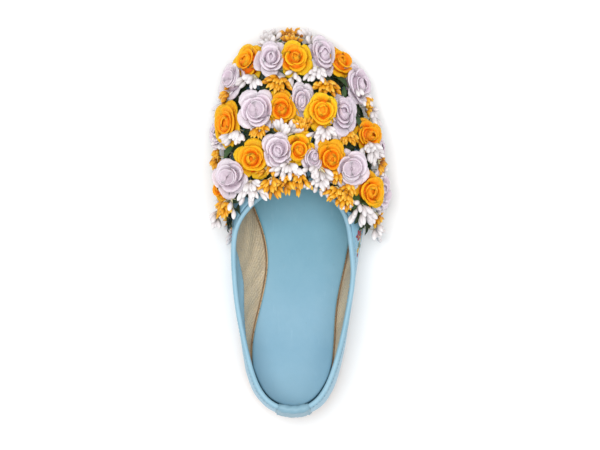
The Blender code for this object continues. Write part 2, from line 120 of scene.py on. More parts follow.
# Roses: where the middle of each shows from above, its half sizes across and along, how
# much it stands above the others, all in millimetres, how pale its rims are, from deep
# (0) to pale (1), partly its own tone and partly painted light, deeper on roses whose sides
# lay in shade and paler on satin rims as a painted highlight, and how it leans to the
# outer side and to the toe.
Rose = namedtuple("Rose", "colour across along wide long rise ripe lean_out lean_toe", defaults=(0, 0))
ROSES = [
    Rose(*row)
    for row in (
        ("orange", -34, 212, 12.0, 14.5, 1.5, 0.60, -0.2, 0.15),
        ("lavender", -17, 210, 11.5, 14.5, 2.0, 0.55, 0.0, 0.15),
        ("orange", 0, 211, 11.5, 13.0, 1.0, 0.75, 0.0, 0.15),
        ("lavender", 18, 214, 11.0, 15.0, 2.0, 0.55, 0.0, 0.15),
        ("orange", 34, 216, 12.5, 12.5, 1.5, 0.25, 0.2, 0.1),
        ("lavender", 50, 202, 12.5, 14.5, 4.0, 0.25, 0.35, 0.0),
        ("lavender", -46, 201, 12.5, 15.0, 3.5, 0.70, -0.3, 0.1),
        ("orange", -47, 167, 11.0, 16.0, 0.0, 0.40, -0.1, 0.0),
        ("lavender", -26, 176, 14.5, 15.0, 4.5, 0.65),
        ("orange", -10, 178, 11.5, 13.5, -1.0, 0.60),
        ("lavender", 3, 185, 9.0, 14.0, -2.0, 0.50, 0.1, -0.2),
        ("orange", 17, 177, 12.0, 13.0, 3.0, 0.95),
        ("lavender", 31, 172, 10.5, 16.0, 1.0, 0.0, 0.0, 0.25),
        ("orange", 48, 160, 12.0, 11.5, 0.0, 0.20, 0.2, 0.0),
        ("lavender", 61, 154, 11.0, 12.0, 2.0, 0.40, 0.3, 0.0),
        ("lavender", -59, 163, 11.0, 12.0, 2.0, 0.60, -0.3, 0.0),
        ("orange", -29, 144, 12.5, 12.5, 1.0, 0.60),
        ("lavender", -13, 149, 11.5, 13.0, 2.5, 0.60),
        ("orange", 2, 151, 10.5, 12.0, 1.0, 0.90),
        ("lavender", 10, 144, 8.5, 11.5, 0.0, 0.35, 0.1, 0.1),
        ("orange", 23, 145, 11.0, 14.0, 1.0, 0.12),
        ("lavender", 36, 138, 14.0, 14.0, 2.5, 0.60),
        ("lavender", -44, 132, 13.5, 13.5, 2.0, 0.60),
        ("orange", -60, 125, 9.0, 9.5, 0.0, 0.10, -0.2, 0.0),
        ("orange", 49, 123, 11.5, 12.5, 2.0, 0.35, 0.1, 0.0),
        ("lavender", 66, 123, 12.0, 14.5, 4.0, 0.55, 0.3, 0.0),
    )
]
ROSE_HEIGHT = 14.0 * MM
HEAD = 0.72 * ROSE_HEIGHT  # how high above its seat a rose is widest

# Sprays: where the middle of each bunch shows from above, in millimetres, which way its
# buds point (0 towards the outer side, 90 towards the toe), how many buds it has, how
# wide they fan, in degrees, and how long the buds are, as a share of the usual length.
Spray = namedtuple("Spray", "colour across along aim buds fan long", defaults=(90, 1.0))
SPRAYS = [
    Spray(*row)
    for row in (
        ("yellow", -6, 234, 95, 18, 110, 1.4), ("white", -20, 228, 115, 6),
        ("yellow", 3, 231, 75, 8), ("white", 11, 231, 80, 6), ("white", 24, 226, 60, 5),
        ("yellow", 30, 221, 45, 7), ("white", 51, 217, 45, 5), ("white", -28, 194, 245, 13, 130),
        ("yellow", -10, 192, 265, 20, 140, 1.2), ("white", -3, 197, 250, 4), ("white", 11, 199, 260, 10),
        ("yellow", 19, 190, 270, 20, 140, 1.2), ("white", 37, 191, 280, 8),
        ("white", -56, 186, 180, 4, 60, 1.3), ("yellow", -45, 185, 210, 8), ("white", 48, 186, 320, 6),
        ("white", 59, 180, 325, 8), ("yellow", 50, 184, 300, 15, 110, 1.1),
        ("white", -38, 158, 250, 13, 110), ("yellow", -22, 162, 280, 11), ("white", -7, 163, 70, 13),
        ("yellow", 4, 167, 90, 10), ("white", 18, 160, 270, 17, 130, 1.1), ("yellow", 32, 157, 270, 14),
        ("white", 47, 150, 290, 19, 130, 1.15), ("yellow", 58, 141, 330, 11),
        ("yellow", -61, 150, 210, 8), ("yellow", -56, 144, 200, 8),
        ("white", -27, 124, 300, 21, 110, 1.4), ("yellow", -16, 134, 270, 12, 110),
        ("yellow", -14, 122, 275, 13, 110, 1.5), ("white", -5, 135, 270, 16, 120),
        ("yellow", 1, 120, 270, 16, 120, 1.5), ("yellow", -6, 121, 268, 9, 90, 1.5),
        ("white", 12, 134, 265, 15, 120), ("white", 14, 127, 255, 10, 100, 1.05),
        ("yellow", 25, 131, 260, 10), ("yellow", 21, 118, 240, 10, 90, 1.25),
        ("yellow", 29, 115, 250, 20, 120, 1.15), ("yellow", 31, 122, 250, 10),
        ("white", 40, 109, 262, 19, 160, 1.3), ("yellow", 58, 103, 290, 11), ("white", 52, 98, 275, 5),
        ("yellow", -45, 110, 262, 19, 120, 1.15), ("white", -38, 112, 300, 1, 0, 1.1),
        ("white", -57, 106, 230, 8), ("yellow", 52, 179, 320, 14, 140, 1.2),
        ("white", 56, 173, 335, 9, 120, 1.1), ("yellow", 59, 134, 320, 10, 120, 1.1),
    )
]

# Leaves that show between the flowers: place in millimetres, way of the tip, and length.
LEAVES = (
    (-12, 203, 20, 12), (-7, 201, 160, 11), (28, 194, 300, 12), (31, 189, 80, 11), (7, 177, 250, 11),
    (-23, 203, 300, 12), (-11, 219, 80, 12), (29, 200, 200, 13), (36, 201, 330, 12), (-43, 192, 240, 12),
    (38, 167, 280, 13), (36, 158, 260, 12), (35, 116, 250, 16), (38, 113, 235, 14), (44, 113, 15, 13),
    (46, 108, 330, 12), (-43, 148, 240, 13), (-40, 120, 290, 12), (-20, 186, 90, 11), (8, 169, 60, 11),
    (-52, 178, 200, 12),
)
VAMP_TURNS = (-0.30, 0.30)
VAMP_UPS = (0.12, 0.96)
SEARCH_ROUNDS = 4
SEARCH_STEPS = 31
UPWARD = 1.2  # how far a bloom turns from the vamp's normal towards straight up


# The last's surface

class ClosedCurve:
    """Smooth closed curve through rows of numbers, evenly spaced round one turn."""

    def __init__(self, rows):
        self.rows = np.array(rows, float)
        one = np.eye(len(self.rows))
        system = 4 * one + np.roll(one, 1, axis=0) + np.roll(one, -1, axis=0)
        chords = np.roll(self.rows, -1, axis=0) - np.roll(self.rows, 1, axis=0)
        self.slopes = np.linalg.solve(system, 3 * chords)

    def at(self, turn):
        count = len(self.rows)
        place = np.mod(turn, 1.0) * count
        here = np.floor(place).astype(int) % count
        after = (here + 1) % count
        t = (place - np.floor(place))[..., None]
        return (
            (1 + 2 * t) * (1 - t) ** 2 * self.rows[here]
            + t * (1 - t) ** 2 * self.slopes[here]
            + t**2 * (3 - 2 * t) * self.rows[after]
            + t**2 * (t - 1) * self.slopes[after]
        )


UPPER_CURVE = ClosedCurve(list(SECTIONS.values()))


def smooth_step(value):
    t = np.clip(value, 0, 1)
    return t * t * (3 - 2 * t)


def unit(vectors):
    return vectors / np.linalg.norm(vectors, axis=-1, keepdims=True)


def sole_floor(along):
    """Height of the sole's underside: level seat, arch, level tread, toe spring."""
    arch = (LIFT_THICK + GAP) * (1 - smooth_step((along - SEAT_FRONT) / (TREAD_START - SEAT_FRONT)))
    toe_end = HEEL_END + SOLE_LENGTH
    spring = np.clip((along - SPRING_START) / (toe_end - SPRING_START), 0, None)
    return arch + TOE_SPRING * spring**2


def feather_line(turn):
    """Plan of the line where the upper meets the sole, as X and Y."""
    row = UPPER_CURVE.at(turn)
    return np.stack([row[..., 1] * BALL_WIDTH, HEEL_END + row[..., 0] * SOLE_LENGTH], -1)


def outward(turn):
    """Unit way out of the feather line, in plan."""
    way = feather_line(turn + SLOPE_STEP) - feather_line(turn - SLOPE_STEP)
    return unit(np.stack([-way[..., 1], way[..., 0]], -1))


def outline(turn, margin):
    """The feather line moved out by margin, in plan."""
    return feather_line(turn) + margin * outward(turn)


def wall(turn, up):
    """Outer face of the upper: turn runs round it, up runs from sole to top line."""
    turn, up = np.broadcast_arrays(np.asarray(turn, float), np.asarray(up, float))
    row = Section(*np.moveaxis(UPPER_CURVE.at(turn), -1, 0))
    foot, way = feather_line(turn), outward(turn)
    top = np.stack([row.top_side * BALL_WIDTH, HEEL_END + row.top_foot * SOLE_LENGTH], -1)
    top_way = unit(foot - top + TOP_AIM * way)
    low = sole_floor(foot[..., 1]) + SOLE_THICK + GAP
    high = row.top_height * THROAT_HEIGHT
    tall = high - low
    corners = (
        (foot, low),
        (foot + way * (row.swell * BALL_WIDTH)[..., None], low + row.rise * tall),
        (top + top_way * (row.reach * BALL_WIDTH)[..., None], high - row.drop * tall),
        (top, high),
    )
    t = up[..., None]
    weights = ((1 - t) ** 3, 3 * t * (1 - t) ** 2, 3 * t**2 * (1 - t), t**3)
    return sum(
        weight * np.concatenate([plan, height[..., None]], -1)
        for weight, (plan, height) in zip(weights, corners)
    )


def wall_climb(turn, up):
    """Unit way up the wall, towards the top line."""
    return unit(wall(turn, up + SLOPE_STEP) - wall(turn, up - SLOPE_STEP))


def wall_normal(turn, up):
    """Unit way out of the wall, which is level where the wall meets the sole."""
    turn, up = np.broadcast_arrays(np.asarray(turn, float), np.asarray(up, float))
    along = wall(turn + SLOPE_STEP, up) - wall(turn - SLOPE_STEP, up)
    free = unit(np.cross(wall_climb(turn, up), along))
    flat = np.concatenate([outward(turn), np.zeros(turn.shape + (1,))], -1)
    share = smooth_step(up / FOOT_BLEND)[..., None]
    return unit(share * free + (1 - share) * flat)


def top_edge(turn):
    """Middle of the binding, with the wall's ways out and up there."""
    out, climb = wall_normal(turn, 1.0), wall_climb(turn, 1.0)
    return wall(turn, 1.0) - out * WALL / 2 + climb * (BINDING_RADIUS + GAP), out, climb


def inside_wall(turns, ups, proud):
    """Point inside the upper, proud of its lining."""
    return wall(turns, ups) - np.asarray(WALL + proud)[..., None] * wall_normal(turns, ups)


def facing(normal):
    """Way a bloom faces, between the vamp's normal and straight up."""
    return unit(normal + UPWARD * np.array([0.0, 0.0, 1.0]))


def flat_way(degrees):
    """Level way of an aim, with its third number 0."""
    return np.array([math.cos(math.radians(degrees)), math.sin(math.radians(degrees)), 0.0])


def seat_under(across, along, head):
    """Place on the vamp whose flower, head above it, shows nearest the wanted spot."""
    turn_range, up_range = VAMP_TURNS, VAMP_UPS
    for _ in range(SEARCH_ROUNDS):
        turns, ups = np.meshgrid(
            np.linspace(*turn_range, SEARCH_STEPS), np.linspace(*up_range, SEARCH_STEPS)
        )
        normals = wall_normal(turns, ups)
        heads = wall(turns, ups) + head * facing(normals)
        miss = np.linalg.norm(heads[..., :2] - (across, along), axis=-1)
        miss[normals[..., 2] < 0] = SOLE_LENGTH
        best = np.unravel_index(np.argmin(miss), miss.shape)
        turn, up = turns[best], ups[best]
        turn_reach = 2 * (turn_range[1] - turn_range[0]) / SEARCH_STEPS
        up_reach = 2 * (up_range[1] - up_range[0]) / SEARCH_STEPS
        turn_range = (turn - turn_reach, turn + turn_reach)
        up_range = (max(VAMP_UPS[0], up - up_reach), min(VAMP_UPS[1], up + up_reach))
    normal = wall_normal(turn, up)
    return wall(turn, up) + GAP * normal, normal


ROSE_SEATS = [seat_under(rose.across * MM, rose.along * MM, HEAD) for rose in ROSES]
ROSE_HEADS = np.array([seat + HEAD * facing(normal) for seat, normal in ROSE_SEATS])
ROSE_SIZES = np.array([(rose.wide * MM, rose.long * MM, ROSE_HEIGHT) for rose in ROSES])


# Meshes

VECTOR_MARKS = ("turn", "scale", "facing")
COUNT_MARKS = ("shape", "bloom")


def new_mesh(name, points, faces=(), edges=(), marks=None):
    """A mesh with named marks on its points."""
    mesh = bpy.data.meshes.new(name)
    mesh.from_pydata(np.asarray(points).tolist(), edges, [tuple(map(int, face)) for face in faces])
    for mark, values in (marks or {}).items():
        kind = "FLOAT_VECTOR" if mark in VECTOR_MARKS else "INT" if mark in COUNT_MARKS else "FLOAT"
        field = "vector" if mark in VECTOR_MARKS else "value"
        numbers = np.asarray(values, np.int32 if mark in COUNT_MARKS else np.float32)
        mesh.attributes.new(mark, kind, "POINT").data.foreach_set(field, numbers.ravel())
    return mesh


def new_object(name, data):
    made = bpy.data.objects.new(name, data)
    bpy.context.scene.collection.objects.link(made)
    return made


def new_piece(name, points, faces, finishes=(), face_finish=None, uv=None, marks=None):
    """A closed mesh in the row frame, smooth, facing out, with its finishes and marks."""
    mesh = new_mesh(name, points, faces, marks=marks)
    for material in finishes:
        mesh.materials.append(material)
    if face_finish is not None:
        mesh.polygons.foreach_set("material_index", np.asarray(face_finish, np.int32))
    if uv is not None:
        mesh.uv_layers.new(name="cut").uv.foreach_set("vector", np.asarray(uv, np.float32).ravel())
    shape = bmesh.new()
    shape.from_mesh(mesh)
    bmesh.ops.recalc_face_normals(shape, faces=shape.faces)
    shape.to_mesh(mesh)
    shape.free()
    mesh.shade_smooth()
    return new_object(name, mesh)


def lattice(points):
    """Quads of a grid of points that closes both ways, and each corner's place in it."""
    rounds, steps = points.shape[:2]
    i, j = [g.ravel() for g in np.meshgrid(np.arange(rounds), np.arange(steps), indexing="ij")]
    pairs = ((i, j), (i + 1, j), (i + 1, j + 1), (i, j + 1))
    corners = np.stack([np.stack(pair, -1) for pair in pairs], 1)
    faces = corners[..., 0] % rounds * steps + corners[..., 1] % steps
    return points.reshape(-1, 3), faces, corners


def grid_quads(grid):
    """Quads of an open grid of point numbers."""
    return np.stack([grid[:-1, :-1], grid[:-1, 1:], grid[1:, 1:], grid[1:, :-1]], -1).reshape(-1, 4)


def tube_faces(rows, count):
    """Quads between rows of points, where each row closes round count points."""
    grid = np.arange(rows * count).reshape(rows, count)
    return grid_quads(np.concatenate([grid, grid[:, :1]], 1)).tolist()


def closed_strip(sections):
    """Points and faces of a strip of sections, each with its near side first, then its far side back."""
    rows, count = sections.shape[:2]
    faces = tube_faces(rows, count)
    for start in (0, (rows - 1) * count):
        end = start + count
        faces += [(start + j, start + j + 1, end - j - 2, end - j - 1) for j in range(count // 2 - 1)]
    return sections.reshape(-1, 3), faces


def running_length(points):
    """Length along rows of points, from the first."""
    steps = np.linalg.norm(np.diff(points, axis=0), axis=-1)
    return np.concatenate([np.zeros((1,) + steps.shape[1:]), np.cumsum(steps, 0)])


class Plate:
    """Closed solid over the sole's outline: rings from below to above, and filled ends."""

    def __init__(self, rings, columns):
        self.columns = columns
        self.points = np.concatenate(rings)
        self.faces = tube_faces(len(rings), len(rings[0]))
        self.kinds = np.repeat(np.arange(len(rings) - 1), len(rings[0])).tolist()
        self.cap(0, rings[0], -1)
        self.cap((len(rings) - 1) * len(rings[0]), rings[-1], len(rings) - 1)

    def cap(self, start, ring, kind):
        """Fill a ring with rows of quads between points that face each other across it."""
        count, half, wide = len(ring), len(ring) // 2, self.columns
        near, far = np.arange(1, half), count - np.arange(1, half)
        shares = np.linspace(0, 1, wide + 1)[1:-1, None]
        inside = ring[near][:, None] + shares * (ring[far] - ring[near])[:, None]
        numbers = len(self.points) + np.arange((half - 1) * (wide - 1)).reshape(half - 1, wide - 1)
        grid = np.concatenate([start + near[:, None], numbers, start + far[:, None]], 1)
        faces = grid_quads(grid).tolist()
        for c in range(wide):
            faces.append((start, grid[0, c + 1], grid[0, c]))
            faces.append((start + half, grid[-1, c], grid[-1, c + 1]))
        self.points = np.concatenate([self.points, inside.reshape(-1, 3)])
        self.faces += faces
        self.kinds += [kind] * len(faces)


# Node trees

BAND_PITCH = 0.314  # pitch of the wave texture's bands at scale 1


class Nodes:
    """A node tree; each input of a new node takes a value or another node's output."""

    def __init__(self, tree):
        self.tree = tree

    def add(self, kind, inputs, **settings):
        """Outputs of a new node with its settings and inputs."""
        made = self.tree.nodes.new(kind)
        for key, value in settings.items():
            setattr(made, key, value)
        for key, value in inputs.items():
            if isinstance(value, bpy.types.NodeSocket):
                self.tree.links.new(value, made.inputs[key])
            else:
                made.inputs[key].default_value = value
        return made.outputs

    def maths(self, operation, first, second=0.0):
        return self.add("ShaderNodeMath", {0: first, 1: second}, operation=operation)[0]

    def plus(self, first, second):
        return self.maths("ADD", first, second)

    def times(self, first, second):
        return self.maths("MULTIPLY", first, second)

    def swing(self, value, amount):
        """A value from 0 to 1 as a change of amount in all, half of it each way."""
        return self.times(self.maths("SUBTRACT", value, 0.5), amount)

    def mix(self, share, first, second):
        """Colour that goes from first to second by share."""
        first, second = (
            colour if isinstance(colour, bpy.types.NodeSocket) else (*colour, 1) for colour in (first, second)
        )
        return self.add("ShaderNodeMix", {0: share, 6: first, 7: second}, data_type="RGBA")[2]

    def lay(self, colour, *coats):
        """A colour with coats laid over it, each a share and its colour."""
        for share, coat in coats:
            colour = self.mix(share, colour, coat)
        return colour

    def spread(self, value, low, high, to_low=0.0, to_high=1.0):
        """A value mapped from low..high, and held inside the new range."""
        ends = {"From Min": low, "From Max": high, "To Min": to_low, "To Max": to_high}
        return self.add("ShaderNodeMapRange", {"Value": value, **ends})["Result"]

    def noise(self, vector, size, detail=2.0, roughness=0.5):
        """Soft noise whose blobs are about size across."""
        inputs = {"Vector": vector, "Scale": 1 / size, "Detail": detail, "Roughness": roughness}
        return self.add("ShaderNodeTexNoise", inputs)[0]

    def wave(self, vector, pitch, distortion=0.0, detail=2.0, detail_scale=1.0, **settings):
        """Bands at a pitch, bent by distortion."""
        inputs = {"Vector": vector, "Scale": BAND_PITCH / pitch, "Distortion": distortion}
        inputs |= {"Detail": detail, "Detail Scale": detail_scale}
        return self.add("ShaderNodeTexWave", inputs, **settings)[1]


class Group(Nodes):
    """A node group with named sockets, each a name, a kind and sometimes a value."""

    def __init__(self, name, sort, inputs, outputs):
        super().__init__(bpy.data.node_groups.new(name, sort))
        for way, sockets in (("INPUT", inputs), ("OUTPUT", outputs)):
            for label, kind, *value in sockets:
                socket = self.tree.interface.new_socket(label, in_out=way, socket_type="NodeSocket" + kind)
                if value:
                    socket.default_value = value[0]
        self.given = self.tree.nodes.new("NodeGroupInput").outputs
        self.taken = self.tree.nodes.new("NodeGroupOutput").inputs

    def give(self, label, value):
        self.tree.links.new(value, self.taken[label])


def skin_group():
    """Leather skin: small pebbles with pores between them, and slow patches of tone."""
    inputs = [("Place", "Vector"), ("Pebble Size", "Float", 0.9 * MM)]
    group = Group("leather_skin", "ShaderNodeTree", inputs, [("Height", "Float"), ("Patch", "Float")])
    place = group.given["Place"]
    often = group.maths("DIVIDE", 1.0, group.given["Pebble Size"])
    pebbles = {"Vector": place, "Scale": often, "Smoothness": 0.6}
    cells = group.add("ShaderNodeTexVoronoi", pebbles, feature="SMOOTH_F1")["Distance"]
    pores = {"Vector": place, "Scale": group.times(often, 1.7), "Detail": 3.0}
    fine = group.times(group.add("ShaderNodeTexNoise", pores)[0], 0.7)
    group.give("Height", group.plus(group.spread(cells, 0.05, 0.75, 1.0, 0.0), fine))
    group.give("Patch", group.spread(group.noise(place, 22 * MM, 4.0, 0.6), 0.3, 0.7))
    return group.tree


def handling_group():
    """Handling marks: short scuffs that run one way, and small specks of dirt."""
    inputs = [("Place", "Vector"), ("Scuff Amount", "Float", 0.5)]
    group = Group("handling_marks", "ShaderNodeTree", inputs, [("Scuff", "Float"), ("Speck", "Float")])
    place = group.given["Place"]
    drawn = {"Vector": place, "Rotation": (0.2, 0.0, 0.5), "Scale": (1.0, 0.12, 1.0)}
    lines = group.noise(group.add("ShaderNodeMapping", drawn)[0], 1.3 * MM, 3.0, 0.6)
    where = group.noise(place, 16 * MM)
    scuff = group.times(group.spread(lines, 0.58, 0.72), group.spread(where, 0.48, 0.66))
    group.give("Scuff", group.times(scuff, group.given["Scuff Amount"]))
    spots = group.add("ShaderNodeTexVoronoi", {"Vector": place, "Scale": 1 / (9 * MM)})["Distance"]
    group.give("Speck", group.spread(spots, 0.05, 0.085, 1.0, 0.0))
    return group.tree


def petal_group():
    """Petal surface: fine ribs that run from the base to the rim, and a soft blotch."""
    inputs = [("Tip", "Float"), ("Side", "Float"), ("Tone", "Float"), ("Place", "Vector")]
    group = Group("petal_ribs", "ShaderNodeTree", inputs, [("Rib", "Float"), ("Blotch", "Float")])
    stretch = (("Side", 9.0), ("Tip", 1.2), ("Tone", 37.0))
    drawn = {k: group.times(group.given[label], amount) for k, (label, amount) in enumerate(stretch)}
    rib = group.noise(group.add("ShaderNodeCombineXYZ", drawn)[0], 1.0, 3.0)
    group.give("Rib", group.spread(rib, 0.3, 0.7))
    group.give("Blotch", group.spread(group.noise(group.given["Place"], 5 * MM), 0.3, 0.7))
    return group.tree


SKIN = skin_group()
HANDLING = handling_group()
PETAL_RIBS = petal_group()


# Finishes

class Finish(Nodes):
    """A material in the making; its constants stand straight on the shader."""

    def __init__(self, name, **constants):
        self.material = bpy.data.materials.new(name)
        self.material.use_nodes = True
        super().__init__(self.material.node_tree)
        self.shader = self.tree.nodes["Principled BSDF"].inputs
        for socket, value in constants.items():
            self.shader[socket.replace("_", " ")].default_value = value

    @cached_property
    def place(self):
        return self.add("ShaderNodeTexCoord", {})["Object"]

    @cached_property
    def along(self):
        return self.add("ShaderNodeSeparateXYZ", {0: self.place})[1]

    def mark(self, name):
        return self.add("ShaderNodeAttribute", {}, attribute_name=name)["Fac"]

    def skin(self, pebble):
        return self.add("ShaderNodeGroup", {"Place": self.place, "Pebble Size": pebble}, node_tree=SKIN)

    def handling(self, amount):
        return self.add("ShaderNodeGroup", {"Place": self.place, "Scuff Amount": amount}, node_tree=HANDLING)

    def petal(self):
        """A petal's own marks tip, side and tone, and its ribs."""
        marks = {label: self.mark(label.lower()) for label in ("Tip", "Side", "Tone")}
        ribs = self.add("ShaderNodeGroup", {**marks, "Place": self.place}, node_tree=PETAL_RIBS)
        return *marks.values(), ribs

    def fibre(self, layers, size):
        """Fine lines that lie level, as in cut leather."""
        level = self.add("ShaderNodeMapping", {"Vector": self.place, "Scale": (1, 1, layers)})[0]
        return self.noise(level, size, 3.0)

    def done(self, colour, relief=None, depth=0.0, strength=1.0, roughness=None):
        """The material, with its colour, roughness and relief linked."""
        ends = {"Base Color": colour, "Roughness": roughness}
        if relief is not None:
            bump = {"Height": relief, "Distance": depth, "Strength": strength}
            ends["Normal"] = self.add("ShaderNodeBump", bump)[0]
        for socket, value in ends.items():
            if value is not None:
                self.tree.links.new(value, self.shader[socket])
        return self.material


def leather_finish(name, dark, light, pebble, relief, roughness, scuffs, scuffed, **constants):
    """Dyed leather: pebbled skin, slow patches of tone, and scuffs that show another colour."""
    finish = Finish(name, **constants)
    skin, scuff = finish.skin(pebble), finish.handling(scuffs)["Scuff"]
    colour = finish.lay(dark, (skin["Patch"], light), (scuff, scuffed))
    gloss = finish.spread(skin["Patch"], 0.0, 1.0, roughness - 0.05, roughness + 0.07)
    gloss = finish.plus(gloss, finish.times(scuff, 0.15))
    return finish.done(colour, skin["Height"], relief, 0.6, gloss)


def upper_finish():
    return leather_finish(
        "upper_leather", (0.19, 0.40, 0.53), (0.24, 0.46, 0.60), 0.9 * MM, 0.10 * MM, 0.42, 0.25,
        (0.52, 0.70, 0.79), Coat_Weight=0.12, Coat_Roughness=0.3,
    )


def piping_finish(name, painted_light_scale):
    """Smooth, satin leather of the piping, and in other shades of the tab and the facing: painted light, the
    facing lightened against the shade under the collar and the tab darkened against the top light on it.
    """
    # Painted light: scaled up for the facing, which lies in shade, and down for the tab, which the top light
    # catches.
    dark, light = np.array([(0.22, 0.41, 0.52), (0.28, 0.47, 0.58)]) * painted_light_scale
    return leather_finish(
        name, dark, light, 0.6 * MM, 0.05 * MM, 0.50, 0.2,
        (0.55, 0.74, 0.82), Coat_Weight=0.06, Coat_Roughness=0.35,
    )


GLUE_SPOT = (3.0 * MM, -22.6 * MM, 15.0 * MM)


def insole_finish():
    """Smooth sock in blue dye, with painted light and shade: paler at the heel, deeper towards the toe where
    the vamp shades it, brighter again from 105 mm against the shade under the throat, and faint rub marks.
    """
    finish = Finish("insole_leather", Coat_Weight=0.04, Coat_Roughness=0.4)
    skin, marks = finish.skin(0.7 * MM), finish.handling(0.1)
    away = finish.add("ShaderNodeVectorMath", {0: finish.place, 1: GLUE_SPOT}, operation="DISTANCE")["Value"]
    # Painted light and shade over the dye: paler at the heel, darker towards the toe, lifted again from 105
    # mm to offset the shade under the throat.
    dye_and_painted_light = finish.lay(
        (0.275, 0.48, 0.585),
        (finish.spread(finish.along, -0.03, 0.015), (0.166, 0.352, 0.472)),
        (finish.spread(finish.along, 0.04, 0.10), (0.108, 0.318, 0.43)),
        (finish.spread(finish.along, 0.105, 0.13), (0.15, 0.42, 0.55)),
    )
    colour = finish.lay(
        dye_and_painted_light,
        (skin["Patch"], finish.mix(0.12, dye_and_painted_light, (0.6, 0.78, 0.86))),
        (marks["Scuff"], (0.46, 0.67, 0.77)),
        (finish.times(marks["Speck"], 0.25), (0.16, 0.3, 0.38)),
        (finish.spread(away, 0.5 * MM, 1.0 * MM, 1.0, 0.0), (0.72, 0.50, 0.10)),
    )
    return finish.done(colour, skin["Height"], 0.04 * MM, 0.5, finish.spread(skin["Patch"], 0, 1, 0.46, 0.6))


def raw_edge_finish():
    """Cut edge of the sock: tan board with glue-dark specks, and painted shade in dark blue at the heel,
    where the collar shades it.
    """
    finish = Finish("insole_raw_edge", Roughness=0.75)
    grain = finish.noise(finish.place, 0.9 * MM, 3.0, 0.7)
    colour = finish.lay(
        (0.64, 0.46, 0.25),
        (finish.spread(grain, 0.35, 0.6), (0.84, 0.68, 0.44)),
        (finish.spread(finish.noise(finish.place, 1.8 * MM), 0.56, 0.64), (0.12, 0.065, 0.03)),
        # Painted shade: dark blue behind 4 mm, fading out by 14 mm, for the shade line under the collar at
        # the heel.
        (finish.spread(finish.along, 4 * MM, 14 * MM, 1.0, 0.0), (0.07, 0.16, 0.22)),
    )
    return finish.done(colour, grain, 0.2 * MM)


def lining_finish():
    """Beige twill: slanted ribs of thread over a finer cross thread, with worn blotches, and painted shade in
    the troughs of soft folds.
    """
    finish = Finish("lining_twill", Roughness=0.85, Sheen_Weight=0.15)
    cut = finish.add("ShaderNodeUVMap", {}, uv_map="cut")[0]
    slant = {"Vector": cut, "Rotation": (0, 0, math.radians(-58))}
    slanted = finish.add("ShaderNodeMapping", slant)[0]
    rib = finish.wave(slanted, 1.9 * MM, 1.2, 1.0, 2.0)
    cross = finish.wave(cut, 0.75 * MM, 1.2, 1.0, 2.0, bands_direction="Y")
    fold = finish.wave(slanted, 13 * MM, 5.0, 1.5, 1.4)
    weave = finish.plus(finish.times(rib, 0.7), finish.times(cross, 0.3))
    blotch = finish.spread(finish.noise(cut, 11 * MM, 4.0, 0.65), 0.36, 0.68)
    slub = finish.spread(finish.noise(slanted, 2.5 * MM), 0.35, 0.7)
    fleck = finish.noise(cut, 0.8 * MM, 2.0, 0.7)
    colour = finish.lay(
        (0.47, 0.37, 0.24),
        (weave, (0.73, 0.61, 0.43)),
        (finish.times(blotch, 0.5), (0.42, 0.34, 0.25)),
        # Painted shade: the troughs of the folds are darkened.
        (finish.spread(fold, 0.0, 0.6, 0.35, 0.0), (0.36, 0.28, 0.19)),
        (finish.times(slub, 0.3), (0.78, 0.60, 0.32)),
        (finish.spread(fleck, 0.56, 0.72, 0.0, 0.7), (0.95, 0.88, 0.74)),
        (finish.spread(fleck, 0.28, 0.44, 0.7, 0.0), (0.20, 0.15, 0.09)),
    )
    return finish.done(colour, finish.plus(finish.times(weave, 0.2), finish.times(fold, 0.8)), 0.9 * MM)


def sole_finish():
    """Tan sole leather: burnished, layered edge, and a scuffed, dusty tread."""
    finish = Finish("sole_leather", Specular_IOR_Level=0.4)
    skin, scuff = finish.skin(0.7 * MM), finish.handling(0.9)["Scuff"]
    edge, fibre = finish.mark("edge"), finish.fibre(6, 1.6 * MM)
    dust = finish.spread(finish.noise(finish.place, 7 * MM, 5.0, 0.7), 0.4, 0.7)
    dust = finish.times(finish.mark("tread"), dust)
    burnished = finish.mix(finish.spread(fibre, 0.35, 0.65), (0.17, 0.078, 0.03), (0.33, 0.165, 0.07))
    colour = finish.lay(
        (0.40, 0.20, 0.085),
        (skin["Patch"], (0.53, 0.30, 0.14)),
        (edge, burnished),
        (finish.times(dust, 0.6), (0.30, 0.25, 0.20)),
        (finish.times(scuff, 0.8), (0.62, 0.43, 0.26)),
    )
    gloss = finish.plus(finish.spread(edge, 0, 1, 0.62, 0.42), finish.times(dust, 0.25))
    return finish.done(colour, finish.plus(skin["Height"], fibre), 0.12 * MM, 0.6, gloss)


def lift_finish():
    """Stacked lift: darker burnished layers with pale lines of fibre between."""
    finish = Finish("lift_leather", Specular_IOR_Level=0.4)
    skin, scuff = finish.skin(0.8 * MM), finish.handling(1.0)["Scuff"]
    tread, fibre = finish.mark("tread"), finish.fibre(7, 1.8 * MM)
    colour = finish.lay(
        (0.15, 0.072, 0.03),
        (finish.spread(fibre, 0.3, 0.7), (0.29, 0.15, 0.065)),
        (finish.times(finish.mark("groove"), 0.7), (0.06, 0.03, 0.015)),
        (tread, finish.mix(skin["Patch"], (0.20, 0.13, 0.09), (0.34, 0.22, 0.13))),
        (finish.times(scuff, 0.7), (0.46, 0.32, 0.2)),
    )
    gloss = finish.spread(tread, 0, 1, 0.42, 0.75)
    return finish.done(colour, finish.plus(skin["Height"], fibre), 0.12 * MM, 0.6, gloss)


